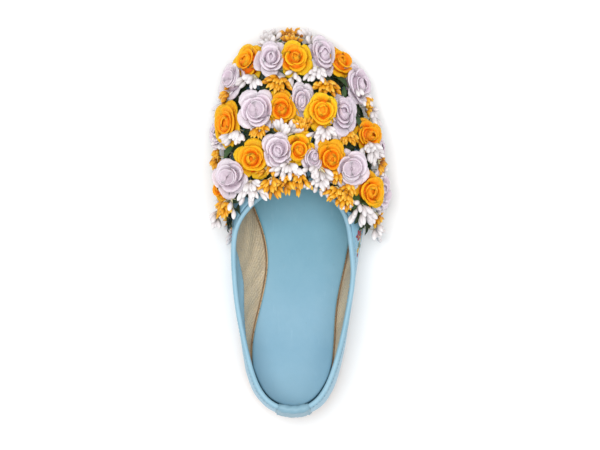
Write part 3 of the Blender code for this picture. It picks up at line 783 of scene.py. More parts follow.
def petal_finish(name, deep, middle, rim, pale_lit_rim, rib_depth, roughness, **constants):
    """Made petals: deeper at the base and in the heart, partly their own colour and partly painted shade in
    the recesses, clear at the rim, where satin petals also get a painted highlight, faint ribs.
    """
    scatter = {"Subsurface_Weight": 0.7, "Subsurface_Scale": 3.0 * MM}
    finish = Finish(name, **scatter, **constants)
    tip, _, tone, ribs = finish.petal()
    light = finish.plus(finish.times(tip, 0.62), finish.times(finish.mark("ring"), 0.5))
    light = finish.plus(light, finish.swing(tone, 0.3))
    light = finish.plus(light, finish.swing(ribs["Rib"], 0.22))
    # Painted shade and highlight: the deep colour also stands for the shade between petals and in the heart,
    # the pale rim for the satin's highlight.
    colour = finish.lay(
        deep,
        (finish.spread(light, 0.1, 0.62), middle),
        (finish.spread(light, 0.55, 1.05), finish.mix(finish.mark("ripe"), rim, pale_lit_rim)),
    )
    gloss = finish.spread(ribs["Blotch"], 0, 1, roughness - 0.06, roughness + 0.08)
    return finish.done(colour, ribs["Rib"], rib_depth, 0.7, gloss)


def bud_finish(name, base, middle, point, roughness):
    """Moulded buds on thread stems: darker at the foot, painted shade where the buds crowd, clear at the
    point, which on the yellow buds also paints their highlight.
    """
    finish = Finish(name, Specular_IOR_Level=0.25, Coat_Weight=0.12, Coat_Roughness=0.2)
    tip, _, tone, ribs = finish.petal()
    light = finish.plus(tip, finish.swing(tone, 0.35))
    light = finish.plus(light, finish.swing(ribs["Rib"], 0.3))
    # Painted light: the dark foot stands for the shade between crowded buds, the pale yellow point for their
    # glossy highlight.
    colour = finish.lay(
        base, (finish.spread(light, 0.08, 0.58), middle), (finish.spread(light, 0.62, 1.1), point)
    )
    gloss = finish.spread(ribs["Blotch"], 0, 1, roughness - 0.05, roughness + 0.1)
    return finish.done(colour, ribs["Rib"], 0.15 * MM, 0.6, gloss)


def leaf_finish():
    """Dark green leaves with a paler middle rib and veins; at a low tone mark they take the near-black green
    of leaves in shade, painted shade.
    """
    finish = Finish("leaf_green", Coat_Weight=0.1, Coat_Roughness=0.35)
    _, side, tone, ribs = finish.petal()
    rib_line = finish.spread(finish.maths("ABSOLUTE", side), 0.0, 0.22, 1.0, 0.0)
    colour = finish.lay(
        # Painted shade: the dark base is the green of leaves in shade; the tone mark lightens it.
        (0.006, 0.016, 0.003),
        (tone, (0.022, 0.078, 0.008)),
        (finish.times(ribs["Rib"], 0.4), (0.012, 0.03, 0.006)),
        (finish.times(rib_line, 0.5), (0.08, 0.14, 0.03)),
    )
    return finish.done(colour, ribs["Rib"], 0.2 * MM, 0.6, finish.spread(ribs["Blotch"], 0, 1, 0.4, 0.6))


def stem_finish():
    """Pale waxed thread stems."""
    finish = Finish("stem_thread", Roughness=0.6)
    patch = finish.spread(finish.noise(finish.place, 3 * MM, 3.0), 0.35, 0.65)
    colour = finish.mix(patch, (0.55, 0.50, 0.24), (0.80, 0.74, 0.50))
    return finish.done(colour, finish.noise(finish.place, 0.5 * MM), 0.1 * MM)


def embroidery_finish():
    """Floss in dark red, gold and teal, told apart by each stitch's own mark."""
    finish = Finish("embroidery_floss", Roughness=0.5, Sheen_Weight=0.3)
    kind = finish.mark("ring")
    colour = finish.lay(
        (0.30, 0.012, 0.03),
        (finish.spread(kind, 0.2, 0.3), (0.66, 0.42, 0.05)),
        (finish.spread(kind, 0.7, 0.8), (0.10, 0.22, 0.20)),
        (finish.times(finish.mark("tone"), 0.35), (0.05, 0.04, 0.03)),
    )
    return finish.done(colour, finish.noise(finish.place, 0.3 * MM), 0.1 * MM)


def thread_finish(name, dark, light):
    """Twisted sewing thread."""
    finish = Finish(name, Roughness=0.55, Sheen_Weight=0.2)
    twist = finish.plus(finish.times(finish.mark("tip"), 5.0), finish.mark("side"))
    ply = finish.wave(finish.add("ShaderNodeCombineXYZ", {0: twist})[0], BAND_PITCH / 0.6)
    return finish.done(finish.mix(ply, dark, light), ply, 0.1 * MM)


# Geometry trees

LEAF_DENSITY = 120000.0


class Growth(Group):
    """A geometry tree with named inputs that ends real, smooth and in its material."""

    def __init__(self, name, *inputs):
        body = ("Geometry", "Geometry")
        super().__init__(name, "GeometryNodeTree", [body, *inputs, ("Material", "Material")], [body])

    def named(self, mark, kind="FLOAT_VECTOR"):
        """A named mark of the points, as a field."""
        return self.add("GeometryNodeInputNamedAttribute", {"Name": mark}, data_type=kind)[0]

    def chance(self, low, high):
        draw = {2: low, 3: high, "Seed": self.given["Seed"]}
        return self.add("FunctionNodeRandomValue", draw, data_type="FLOAT")[1]

    def path(self):
        return self.add("GeometryNodeMeshToCurve", {0: self.given["Geometry"]})[0]

    def shape(self, label):
        return self.add("GeometryNodeObjectInfo", {"Object": self.given[label]})["Geometry"]

    def turned(self, euler):
        return self.add("FunctionNodeEulerToRotation", {0: euler})[0]

    def set_on(self, points, shape, rotation, scale, **picks):
        """End the tree with shapes set on points."""
        places = {"Points": points, "Instance": shape, "Rotation": rotation, "Scale": scale}
        picks = {key.replace("_", " "): value for key, value in picks.items()}
        return self.close(self.add("GeometryNodeInstanceOnPoints", {**places, **picks})[0])

    def close(self, geometry):
        real = self.add("GeometryNodeRealizeInstances", {0: geometry})[0]
        smooth = self.add("GeometryNodeSetShadeSmooth", {0: real})[0]
        dressed = {"Geometry": smooth, "Material": self.given["Material"]}
        self.give("Geometry", self.add("GeometryNodeSetMaterial", dressed)[0])
        return self.tree


def setting_tree():
    """Sets one of a collection of shapes on each point, turned and sized by its marks."""
    tree = Growth(
        "set_shapes", ("Shapes", "Collection"), ("Size Spread", "Float", 0.0), ("Seed", "Int", 1)
    )
    parts = {"Collection": tree.given["Shapes"], "Separate Children": True, "Reset Children": True}
    shapes = tree.add("GeometryNodeCollectionInfo", parts)[0]
    spread = tree.given["Size Spread"]
    size = tree.chance(tree.maths("SUBTRACT", 1.0, spread), tree.plus(1.0, spread))
    scale = tree.add("ShaderNodeVectorMath", {0: tree.named("scale"), "Scale": size}, operation="SCALE")[0]
    pick = tree.named("shape", "INT")
    turn = tree.turned(tree.named("turn"))
    return tree.set_on(
        tree.given["Geometry"], shapes, turn, scale, Pick_Instance=True, Instance_Index=pick
    )


def stem_tree():
    """Round stems along chains of edges."""
    tree = Growth("stems", ("Radius", "Float", 0.33 * MM), ("Sides", "Int", 5))
    circle = {"Resolution": tree.given["Sides"], "Radius": tree.given["Radius"]}
    ring = tree.add("GeometryNodeCurvePrimitiveCircle", circle)[0]
    tube = {"Curve": tree.path(), "Profile Curve": ring, "Fill Caps": True}
    return tree.close(tree.add("GeometryNodeCurveToMesh", tube)[0])


def stitch_tree():
    """Stitches at an even pitch along chains of edges, each lying in its surface."""
    sizes = [(label, "Float", 1.0 * MM) for label in ("Pitch", "Length", "Width")]
    tree = Growth("stitch_run", ("Stitch", "Object"), *sizes)
    given = tree.given
    pitch = {"Curve": tree.path(), "Length": given["Pitch"]}
    even = tree.add("GeometryNodeResampleCurve", pitch, mode="LENGTH")[0]
    tangent = tree.add("GeometryNodeInputTangent", {})[0]
    along = tree.add("FunctionNodeAlignRotationToVector", {"Vector": tangent}, axis="X")[0]
    lie = {"Rotation": along, "Vector": tree.named("facing")}
    lying = tree.add("FunctionNodeAlignRotationToVector", lie, axis="Z", pivot_axis="X")[0]
    size = tree.add("ShaderNodeCombineXYZ", {0: given["Length"], 1: given["Width"], 2: given["Width"]})[0]
    return tree.set_on(even, tree.shape("Stitch"), lying, size)


def leaf_bed_tree():
    """Leaves strewn over a patch of the vamp, tips up a little, at a least spacing, kept dark with painted
    shade.
    """
    sizes = [(label, "Float", 1.0 * MM) for label in ("Spacing", "Length")]
    tree = Growth("leaf_bed", ("Leaf", "Object"), *sizes, ("Tilt", "Float", 0.0), ("Seed", "Int", 1))
    given = tree.given
    patch = {"Mesh": given["Geometry"], "Distance Min": given["Spacing"], "Density Max": LEAF_DENSITY}
    strewn = tree.add(
        "GeometryNodeDistributePointsOnFaces", {**patch, "Seed": given["Seed"]}, distribute_method="POISSON"
    )
    tip_up = {1: tree.times(given["Tilt"], -1.0), 2: tree.chance(0.0, math.tau)}
    spin = tree.turned(tree.add("ShaderNodeCombineXYZ", tip_up)[0])
    turn = {"Rotation": strewn["Rotation"], "Rotate By": spin}
    turned = tree.add("FunctionNodeRotateRotation", turn, rotation_space="LOCAL")[0]
    # Painted shade: the bed's leaves take only the darker half of the tone, so the gaps between flowers read
    # as shade.
    tone = {"Geometry": strewn["Points"], "Name": "tone", "Value": tree.chance(0.0, 0.5)}
    toned = tree.add("GeometryNodeStoreNamedAttribute", tone, data_type="FLOAT", domain="POINT")[0]
    size = tree.times(tree.chance(0.7, 1.15), given["Length"])
    return tree.set_on(toned, tree.shape("Leaf"), turned, size)


SET_SHAPES = setting_tree()
STEMS = stem_tree()
STITCH_RUN = stitch_tree()
LEAF_BED = leaf_bed_tree()


def grow(name, source, tree, values):
    """Run a tree on a mesh and keep what it makes as a plain mesh object."""
    maker = new_object(name + "_source", source)
    modifier = maker.modifiers.new("grow", "NODES")
    modifier.node_group = tree
    for item in tree.interface.items_tree:
        if item.item_type == "SOCKET" and item.in_out == "INPUT" and item.name in values:
            modifier[item.identifier] = values[item.name]
    graph = bpy.context.evaluated_depsgraph_get()
    made = bpy.data.meshes.new_from_object(
        maker.evaluated_get(graph), preserve_all_data_layers=True, depsgraph=graph
    )
    maker.modifiers.remove(modifier)
    bpy.data.objects.remove(maker)
    made.name = name
    return new_object(name, made)


def set_shapes(name, shapes, places, material, spread, seed):
    """One piece of shapes, picked in the order of their names and set on places by their marks."""
    holder = bpy.data.collections.new(name + "_shapes")
    bpy.context.scene.collection.children.link(holder)
    for shape in shapes:
        bpy.context.scene.collection.objects.unlink(shape)
        holder.objects.link(shape)
    marks = {mark: [place[mark] for place in places] for mark in places[0]}
    source = new_mesh(name + "_places", marks.pop("spot"), marks=marks)
    values = {"Shapes": holder, "Size Spread": spread, "Seed": seed, "Material": material}
    piece = grow(name, source, SET_SHAPES, values)
    for shape in shapes:
        bpy.data.objects.remove(shape)
    bpy.data.collections.remove(holder)
    return piece


def chains_mesh(name, chains, facings=None):
    """Chains of points joined by edges, with the way each point's surface faces."""
    points = np.concatenate(chains)
    starts = set(np.cumsum([len(chain) for chain in chains]).tolist())
    edges = [(k - 1, k) for k in range(1, len(points)) if k not in starts]
    marks = None if facings is None else {"facing": np.concatenate(facings)}
    return new_mesh(name, points, edges=edges, marks=marks)


# Repeated shapes

PETAL_ROWS = 7
PETAL_COLUMNS = 8
SPUN_SIDES = 8
STITCH_ROWS = 6
STITCH_SIDES = 6


def smooth_row(rows, share):
    """Point on a smooth line through rows of numbers, share from 0 to 1."""
    rows = np.asarray(rows, float)
    place = np.clip(share, 0, 1) * (len(rows) - 1)
    here = np.clip(np.floor(place).astype(int), 0, len(rows) - 2)
    t = (place - here)[..., None]
    padded = np.concatenate([2 * rows[:1] - rows[1:2], rows, 2 * rows[-1:] - rows[-2:-1]])
    a, b, c, d = (padded[here + k] for k in range(4))
    return 0.5 * (2 * b + (c - a) * t + (2 * a - 5 * b + 4 * c - d) * t**2 + (3 * b - a - 3 * c + d) * t**3)


def sheet_shape(name, middle, thickness, tips, sides):
    """Thin closed shape round a middle sheet given as a grid of points."""
    normal = unit(np.cross(np.gradient(middle, axis=0), np.gradient(middle, axis=1)) + 1e-12)
    half = np.asarray(thickness)[..., None] / 2
    points = np.stack([middle + half * normal, middle - half * normal]).reshape(-1, 3)
    front = np.arange(tips.size).reshape(tips.shape)
    quads = grid_quads(front)
    loop = np.concatenate([front[0], front[1:, -1], front[-1, -2::-1], front[-2:0:-1, 0]])
    after = np.roll(loop, -1)
    both = np.stack([quads, tips.size + quads[:, ::-1]], 1).reshape(-1, 4)
    rim = np.stack([after, loop, tips.size + loop, tips.size + after], -1)
    marks = {"tip": np.tile(tips.ravel(), 2), "side": np.tile(sides.ravel(), 2)}
    return new_piece(name, points, np.concatenate([both, rim]), marks=marks)


def petal_shape(name, petal):
    """A petal in its rose's own frame, pointing to +X, for a rose of radius and height 1."""
    share, across = np.meshgrid(
        np.linspace(0, 1, PETAL_ROWS) ** 0.8, np.linspace(-1, 1, PETAL_COLUMNS), indexing="ij"
    )
    reach = share * (1 - petal.corner * np.abs(across) ** 3 + petal.skew * (across - 1))
    out, up = np.moveaxis(smooth_row(petal.profile, reach), -1, 0)
    width = petal.waist + (1 - petal.waist) * smooth_step(share * 1.6)
    angle = math.radians(petal.half_angle) * across * width
    up = up + petal.wave * np.sin(across * 4.0 + 0.7) * share**2
    out = out * (1 + petal.roll * across) + petal.wave * np.cos(across * 5.0) * share**3
    middle = np.stack([out * np.cos(angle), out * np.sin(angle), up], -1)
    thickness = petal.thick * (0.8 + 0.6 * smooth_step((share - 0.7) / 0.3))
    return sheet_shape(name, middle, thickness * (1 - 0.7 * np.abs(across) ** 6), share, across)


def spun_shape(name, profile, bend=0.0, upright=False):
    """A closed shape of rings (place, girth) along +X or +Z, a little bent, faintly folded."""
    along, turn = np.meshgrid([place for place, _ in profile], np.arange(SPUN_SIDES), indexing="ij")
    angle = math.tau * turn / SPUN_SIDES
    fold = np.array([[girth] for _, girth in profile]) * (1 + 0.07 * np.cos(3 * angle))
    rings = np.stack([along, fold * np.cos(angle), fold * np.sin(angle) + bend * along**2], -1)
    foot, point = [(profile[0][0], 0, 0)], [(profile[-1][0] * 1.01, 0, bend)]
    points = np.concatenate([foot, rings.reshape(-1, 3), point])
    faces = (1 + np.array(tube_faces(len(profile), SPUN_SIDES))).tolist()
    last = len(points) - 1
    for k, after in enumerate(np.roll(np.arange(SPUN_SIDES), -1)):
        faces.append((0, 1 + after, 1 + k))
        faces.append((last - SPUN_SIDES + k, last - SPUN_SIDES + after, last))
    marks = {"tip": [0, *along.ravel(), 1], "side": [0, *np.cos(angle).ravel(), 0]}
    return new_piece(name, points[:, [1, 2, 0]] if upright else points, faces, marks=marks)


def leaf_shape(name, rows, columns):
    """A narrow leaf of length 1 along +X, folded along its rib and bowed down at the tip."""
    share, across = np.meshgrid(np.linspace(0, 1, rows), np.linspace(-1, 1, columns), indexing="ij")
    width = 0.19 * np.sin(np.pi * np.clip(share, 0.02, 0.985) ** 0.8)
    up = 0.10 * np.sin(share * 2.6) - 0.10 * share**2 + 0.55 * np.abs(across) * width
    middle = np.stack([share, across * width, up], -1)
    return sheet_shape(name, middle, np.full(share.shape, 0.022), share, across)


def stitch_shape(name):
    """A stitch of length and width 1 along X that bows up out of the leather."""
    along, turn = np.meshgrid(
        np.linspace(-0.5, 0.5, STITCH_ROWS), np.arange(STITCH_SIDES) / STITCH_SIDES, indexing="ij"
    )
    girth = 0.5 * np.sqrt(np.maximum(0.06, 1 - (2 * along) ** 4))
    rise = 0.42 * (1 - (2 * along) ** 2) - 0.25
    angle = math.tau * turn
    points = np.stack([along, girth * np.cos(angle), girth * np.sin(angle) + rise], -1).reshape(-1, 3)
    numbers = range(len(points))
    faces = tube_faces(STITCH_ROWS, STITCH_SIDES) + [numbers[:STITCH_SIDES], numbers[-STITCH_SIDES:]]
    return new_piece(name, points, faces, marks={"tip": along + 0.5, "side": turn})


# The shoe

ROUND_STEPS = 360
HALF_ROUND = ROUND_STEPS // 2
UP_STEPS = 34
ROUND = np.arange(ROUND_STEPS) / ROUND_STEPS

# Creases of the upper: (turn, up) of both ends, half width and depth in millimetres.
CREASES = (
    (0.285, 0.30, 0.315, 0.72, 3.0, 0.55),
    (0.300, 0.22, 0.335, 0.55, 3.4, 0.45),
    (0.360, 0.55, 0.400, 0.80, 3.6, 0.40),
    (0.440, 0.35, 0.470, 0.60, 3.0, 0.40),
    (0.535, 0.30, 0.560, 0.66, 3.0, 0.45),
    (0.590, 0.50, 0.625, 0.78, 3.6, 0.40),
    (0.672, 0.28, 0.705, 0.64, 3.2, 0.55),
    (0.690, 0.20, 0.722, 0.50, 3.4, 0.45),
)
SEAM_HALF = 1.1 * MM
SEAM_DEEP = 0.45 * MM


def crease_height(turns, ups):
    """How far the leather sinks into its creases and swells beside them."""
    spots = wall(turns, ups)
    height = np.zeros(np.shape(turns))
    for turn, up, turn_end, up_end, half, deep in CREASES:
        first, last = wall([turn, turn_end], [up, up_end])
        way = last - first
        share = np.clip(((spots - first) @ way) / (way @ way), 0, 1)
        away = np.linalg.norm(spots - (first + share[..., None] * way), axis=-1) / (half * MM)
        fade = 0.35 + 0.65 * np.sin(np.pi * np.clip(share, 0.08, 0.92))
        trough = -np.exp(-(away**2)) + 0.45 * np.exp(-((away - 1.9) ** 2))
        height += deep * MM * fade * trough
    aside = np.linalg.norm(spots - wall(HEEL_TURN, ups), axis=-1)
    height -= SEAM_DEEP * np.exp(-((aside / SEAM_HALF) ** 2))
    return height * smooth_step(ups / 0.12) * smooth_step((1 - ups) / 0.08)


def make_upper(leather, lining):
    """One wall: leather outside with its creases, twill inside."""
    turns, rises = np.meshgrid(ROUND, np.linspace(0, 1, UP_STEPS + 1), indexing="ij")
    skin, out = wall(turns, rises), wall_normal(turns, rises)
    outer = skin + crease_height(turns, rises)[..., None] * out
    inner = (skin - WALL * out)[:, ::-1]
    points, faces, corners = lattice(np.concatenate([outer, inner], 1))
    girth = running_length(np.concatenate([skin, skin[:1]])[:, UP_STEPS * 2 // 3])
    climb = running_length(np.moveaxis(skin, 1, 0)).T
    climb = np.concatenate([climb, climb[:, ::-1], climb[:, :1]], 1)
    climb = np.concatenate([climb, climb[:1]])
    cut = np.stack([np.broadcast_to(girth[:, None], climb.shape), climb], -1)
    uv = cut[corners[..., 0], corners[..., 1]]
    step = corners[:, 0, 1]
    inside = (step > UP_STEPS) & (step < 2 * UP_STEPS + 1)
    return new_piece("upper_leather", points, faces, [leather, lining], inside, uv)


# Lower edge of the blue facing inside the quarters: how far up the wall it lies, by
# the distance from the origin towards the toe, in millimetres.
FACING_ALONG = (-30, 4, 12, 22, 38, 60, 80, 92)
FACING_LOW = (0.06, 0.06, 0.14, 0.30, 0.44, 0.48, 0.66, 0.95)
FACING_TURNS = (0.262, 0.742)
FACING_TOP = 0.995
FACING_CLEAR = 0.12 * MM
FACING_THICK = 0.6 * MM
FACING_STEPS = 170
FACING_UPS = 14


def facing_low(turns):
    """Where the facing's lower edge runs up the wall."""
    return np.interp(wall(turns, 0.8)[..., 1] / MM, FACING_ALONG, FACING_LOW)


def make_facing(leather):
    """Thin blue leather that lines the heel and runs forward under the collar."""
    turns, rise = np.meshgrid(
        np.linspace(*FACING_TURNS, FACING_STEPS), np.linspace(0, 1, FACING_UPS), indexing="ij"
    )
    lows = facing_low(turns)
    ups = lows + rise * (FACING_TOP - lows)
    near = inside_wall(turns, ups, FACING_CLEAR)
    far = inside_wall(turns, ups, FACING_CLEAR + FACING_THICK * (0.35 + 0.65 * smooth_step(rise * 6)))
    return new_piece("quarter_facing", *closed_strip(np.concatenate([near, far[:, ::-1]], 1)), [leather])


PIPING_STEPS = 720
PIPING_SIDES = 14
PIPING_PITCH = 3.2 * MM
PIPING_PULL = 0.035


def make_piping(leather):
    """Rolled piping round the top line, drawn in a little at each stitch."""
    middle, out, climb = top_edge(np.arange(PIPING_STEPS) / PIPING_STEPS)
    length = running_length(np.concatenate([middle, middle[:1]]))
    pulls = round(length[-1] / PIPING_PITCH)
    pull = np.cos(math.tau * pulls * length[:-1] / length[-1])
    angle = math.tau * np.arange(PIPING_SIDES) / PIPING_SIDES
    under = 0.5 - 0.5 * np.sin(angle)
    radius = BINDING_RADIUS * (1 + PIPING_PULL * pull[:, None] * under)
    way = np.cos(angle)[:, None] * out[:, None] + np.sin(angle)[:, None] * climb[:, None]
    points, faces, _ = lattice(middle[:, None] + radius[..., None] * way)
    return new_piece("collar_piping", points, faces, [leather])


TAB_HALF = 1.9 / 80  # half width of the tab, in turns
TAB_ACROSS = 17
TAB_OUTER_UPS = (0.52, 0.56, 0.60, 0.66, 0.72, 0.78, 0.84, 0.90)
TAB_FOLD_ANGLES = (0, 20, 40, 60, 80, 100, 120, 140, 160, 180)
TAB_INNER_UPS = (0.93, 0.89, 0.85, 0.80)
TAB_FLARES = (0.2 * MM, 0.7 * MM, 1.3 * MM, 1.9 * MM)  # the flap's end stands off the lining
TAB_INNER_CLEAR = 0.7 * MM


def tab_line(turn, clear):
    """Line of the folded tab at one place: up the back, over the binding, down inside."""
    middle, out, climb = top_edge(turn)
    angle = np.radians(TAB_FOLD_ANGLES)[:, None]
    flares = TAB_INNER_CLEAR + clear + np.array(TAB_FLARES)
    return np.concatenate(
        [
            wall(turn, TAB_OUTER_UPS) + clear * wall_normal(turn, TAB_OUTER_UPS),
            middle + (BINDING_RADIUS + clear) * (np.cos(angle) * out + np.sin(angle) * climb),
            inside_wall(turn, TAB_INNER_UPS, flares),
        ]
    )


def make_heel_tab(leather):
    """Leather tab folded over the top line at the back seam, its edges pared thin."""
    sections = []
    for share in np.linspace(-1, 1, TAB_ACROSS):
        turn = HEEL_TURN + share * TAB_HALF
        pared = 0.2 + 0.5 * smooth_step((1 - abs(share)) * 3)
        near, far = tab_line(turn, GAP), tab_line(turn, GAP + TAB_THICK * pared)
        worn = 0.22 * MM * np.sin(share * 11.0 + 0.9 * np.arange(len(far)))
        far += worn[:, None] * unit(far - near + 1e-9)
        far[-len(TAB_FLARES):] += 0.25 * MM * math.sin(share * 7.0 + 0.5) * np.array([0, 0.4, 1.0])
        for line in (near, far):
            line[-1, 2] += 0.9 * MM * math.sin(share * 9.0)
        sections.append(np.concatenate([near, far[::-1]]))
    return new_piece("heel_tab_leather", *closed_strip(np.array(sections)), [leather])


def plan_ring(margin, lift, pull=0.0, count=ROUND_STEPS):
    """Closed ring over the sole's outline, lift above the sole's underside."""
    turns = np.arange(count) / count
    plan = outline(turns, margin) - np.asarray(pull)[..., None] * outward(turns)
    return np.concatenate([plan, sole_floor(plan[:, 1:]) + lift], -1)


INSOLE_COLUMNS = 40
INSOLE_CROWN = 0.9 * MM
INSOLE_EDGE_ANGLES = (0, 18, 40, 62, 82)
RIM_MIDDLE = np.array([-64, 103]) * MM  # the collar's rim is scaled out from here at the heel
RIM_SCALE = 0.018
HEEL_LINE = 0.55 * MM  # the line of shade left between the sock and the collar
BOARD_THICK = 0.4 * MM  # thin board under the sock
BOARD_SHOW = 0.35 * MM

# Foot marks pressed into the sock: place, half widths and depth, in millimetres.
DENTS = (
    (-3, -4, 15, 17, 0.45),
    (5, 36, 12, 5, 0.18),
    (13, 31, 6, 3, 0.22),
    (-8, 62, 14, 7, 0.16),
    (8, 96, 22, 16, 0.35),
    (-18, -12, 3, 9, 0.35),
)


def heel_pull():
    """How far the sock is cut in at the heel, so that its edge shows inside the collar."""
    middle, out, _ = top_edge(ROUND)
    rim = (middle - BINDING_RADIUS * out)[:, :2]
    rim += RIM_SCALE * (rim - RIM_MIDDLE) * smooth_step((0.02 - rim[:, 1]) / 0.02)[:, None]
    over = np.sum((outline(ROUND, INSOLE_MARGIN) - rim) * outward(ROUND), -1) + HEEL_LINE
    return np.clip(over, 0, None) * smooth_step((0.06 - middle[:, 1]) / 0.04)


def make_insole(leather, raw_edge):
    """Padded sock: crowned along its middle, pressed by the foot, its cut edge showing."""
    pull = np.maximum(heel_pull(), BOARD_SHOW)
    low = SOLE_THICK + GAP
    levels = [(INSOLE_MARGIN, low, 0.0)]
    levels += [(INSOLE_MARGIN, low + BOARD_THICK, 0.0), (INSOLE_MARGIN, low + BOARD_THICK, pull)]
    for angle in np.radians(INSOLE_EDGE_ANGLES):
        margin = INSOLE_MARGIN - INSOLE_EDGE_ROUND * (1 - math.cos(angle))
        levels.append((margin, low + INSOLE_THICK - INSOLE_EDGE_ROUND * (1 - math.sin(angle)), pull))
    plate = Plate([plan_ring(*level) for level in levels], INSOLE_COLUMNS)
    rows, columns = HALF_ROUND - 1, INSOLE_COLUMNS - 1
    top = plate.points[-rows * columns:].reshape(rows, columns, 3)
    across = np.linspace(-1, 1, INSOLE_COLUMNS + 1)[1:-1]
    end = np.sin(np.pi * np.arange(1, HALF_ROUND) / HALF_ROUND) ** 0.5
    top[..., 2] += INSOLE_CROWN * (1 - np.abs(across) ** 3) * end[:, None]
    for middle, along, wide, long, deep in DENTS:
        away = ((top[..., 0] / MM - middle) / wide) ** 2 + ((top[..., 1] / MM - along) / long) ** 2
        top[..., 2] -= deep * MM * np.exp(-away) * (1 - np.abs(across) ** 6)
    kinds = np.array(plate.kinds)
    edge = (kinds >= 0) & (kinds < len(levels) - len(INSOLE_EDGE_ANGLES))
    return new_piece("insole_sock", plate.points, plate.faces, [leather, raw_edge], edge)


SOLE_COLUMNS = 24
CHANNEL_IN = 5.0 * MM  # stitched channel of the underside, in from the sole's edge
CHANNEL_HALF = 0.8 * MM
CHANNEL_DEEP = 0.5 * MM
CHANNEL = SOLE_MARGIN - CHANNEL_IN
STEP = SOLE_THICK - RAND_THICK  # where the rand steps out over the sole
TREAD_WEAR = 2.5 * MM  # the sole is worn below this height

# Rings of the sole from below: margin, height, and shares of burnished edge and of tread.
SOLE_RINGS = (
    (CHANNEL - CHANNEL_HALF, 0.0, 0, 1),
    (CHANNEL - CHANNEL_HALF * 0.5, CHANNEL_DEEP, 0, 0.4),
    (CHANNEL + CHANNEL_HALF * 0.5, CHANNEL_DEEP, 0, 0.4),
    (CHANNEL + CHANNEL_HALF, 0.0, 0, 1),
    (SOLE_MARGIN - 0.9 * MM, 0.0, 0.3, 1),
    (SOLE_MARGIN - 0.35 * MM, 0.25 * MM, 0.8, 0.3),
    (SOLE_MARGIN, 0.9 * MM, 1, 0),
    (SOLE_MARGIN, STEP - 0.35 * MM, 1, 0),
    (SOLE_MARGIN - 0.1 * MM, STEP - 0.1 * MM, 1, 0),
    (RAND_MARGIN - 0.3 * MM, STEP, 1, 0),
    (RAND_MARGIN, STEP + 0.35 * MM, 0.8, 0),
    (RAND_MARGIN, SOLE_THICK - 0.4 * MM, 0.8, 0),
    (RAND_MARGIN - 0.35 * MM, SOLE_THICK, 0.4, 0),
)


def make_outsole(leather):
    """Leather sole: rand above, rounded edge, and a stitching channel underneath."""
    plate = Plate([plan_ring(margin, height) for margin, height, _, _ in SOLE_RINGS], SOLE_COLUMNS)
    edge, under = np.zeros((2, len(plate.points)))
    cap = len(SOLE_RINGS) * ROUND_STEPS
    edge[:cap], under[:cap] = np.repeat([ring[2:] for ring in SOLE_RINGS], ROUND_STEPS, axis=0).T
    under[cap:cap + (SOLE_COLUMNS - 1) * (HALF_ROUND - 1)] = 1
    worn = 1 - smooth_step(sole_floor(plate.points[:, 1]) / TREAD_WEAR)
    marks = {"edge": edge, "tread": under * worn}
    return new_piece("outsole_leather", plate.points, plate.faces, [leather], marks=marks)


LIFT_LAYERS = 3
LIFT_HALF = 10 / 80  # the lift's arc each side of the back seam, in turns
LIFT_STEPS = 60
LIFT_COLUMNS = 16
BREAST_STEPS = 20


def make_heel_lift(leather):
    """Low lift of stacked leather with a straight breast."""
    steps = np.linspace(0, LIFT_HALF, LIFT_STEPS + 1)
    share = np.linspace(0, 1, BREAST_STEPS)[1:-1, None]
    levels = [(-0.5 * MM, 0.0, 0.0), (-0.12 * MM, 0.15 * MM, 0.0), (0.0, 0.5 * MM, 0.0)]
    for k in range(1, LIFT_LAYERS):
        joint = k * LIFT_THICK / LIFT_LAYERS
        levels += [(0.0, joint - 0.22 * MM, 0.0), (-0.18 * MM, joint, 1.0), (0.0, joint + 0.22 * MM, 0.0)]
    levels += [(0.0, LIFT_THICK - 0.2 * MM, 0.0), (-0.2 * MM, LIFT_THICK, 0.3)]
    rings = []
    for margin, height, _ in levels:
        outer = outline(HEEL_TURN - steps, LIFT_MARGIN + margin)
        inner = outline(HEEL_TURN + steps, LIFT_MARGIN + margin)
        breast = outer[-1] + share * (inner[-1] - outer[-1])
        breast[:, 1] += margin
        ring = np.concatenate([outer, breast, inner[:0:-1]])
        rings.append(np.concatenate([ring, np.full((len(ring), 1), height)], -1))
    plate = Plate(rings, LIFT_COLUMNS)
    groove = np.zeros(len(plate.points))
    groove[:len(rings) * len(rings[0])] = np.repeat([level[2] for level in levels], len(rings[0]))
    marks = {"groove": groove, "tread": plate.points[:, 2] < 0.1 * MM}
    return new_piece("heel_lift_stack", plate.points, plate.faces, [leather], marks=marks)


# Stitching

COLLAR_SEAMS = ((0.235, HEEL_TURN - TAB_HALF), (HEEL_TURN + TAB_HALF, 0.765))
COLLAR_SEAM_UP = 0.945
BACK_SEAM_ASIDE = 0.0035  # in turns
TAB_SEAM_ASIDE = TAB_HALF * 0.84
TAB_SEAM_UPS = (0.545, 0.93)


def sewn_line(turns, ups, proud, creased=True):
    """Points of a line of stitches, proud of the wall, and the ways they face."""
    turns, ups = np.broadcast_arrays(turns, ups)
    out = wall_normal(turns, ups)
    if creased:
        proud = proud + crease_height(turns, ups)
    return wall(turns, ups) + np.reshape(proud, (-1, 1)) * out, out


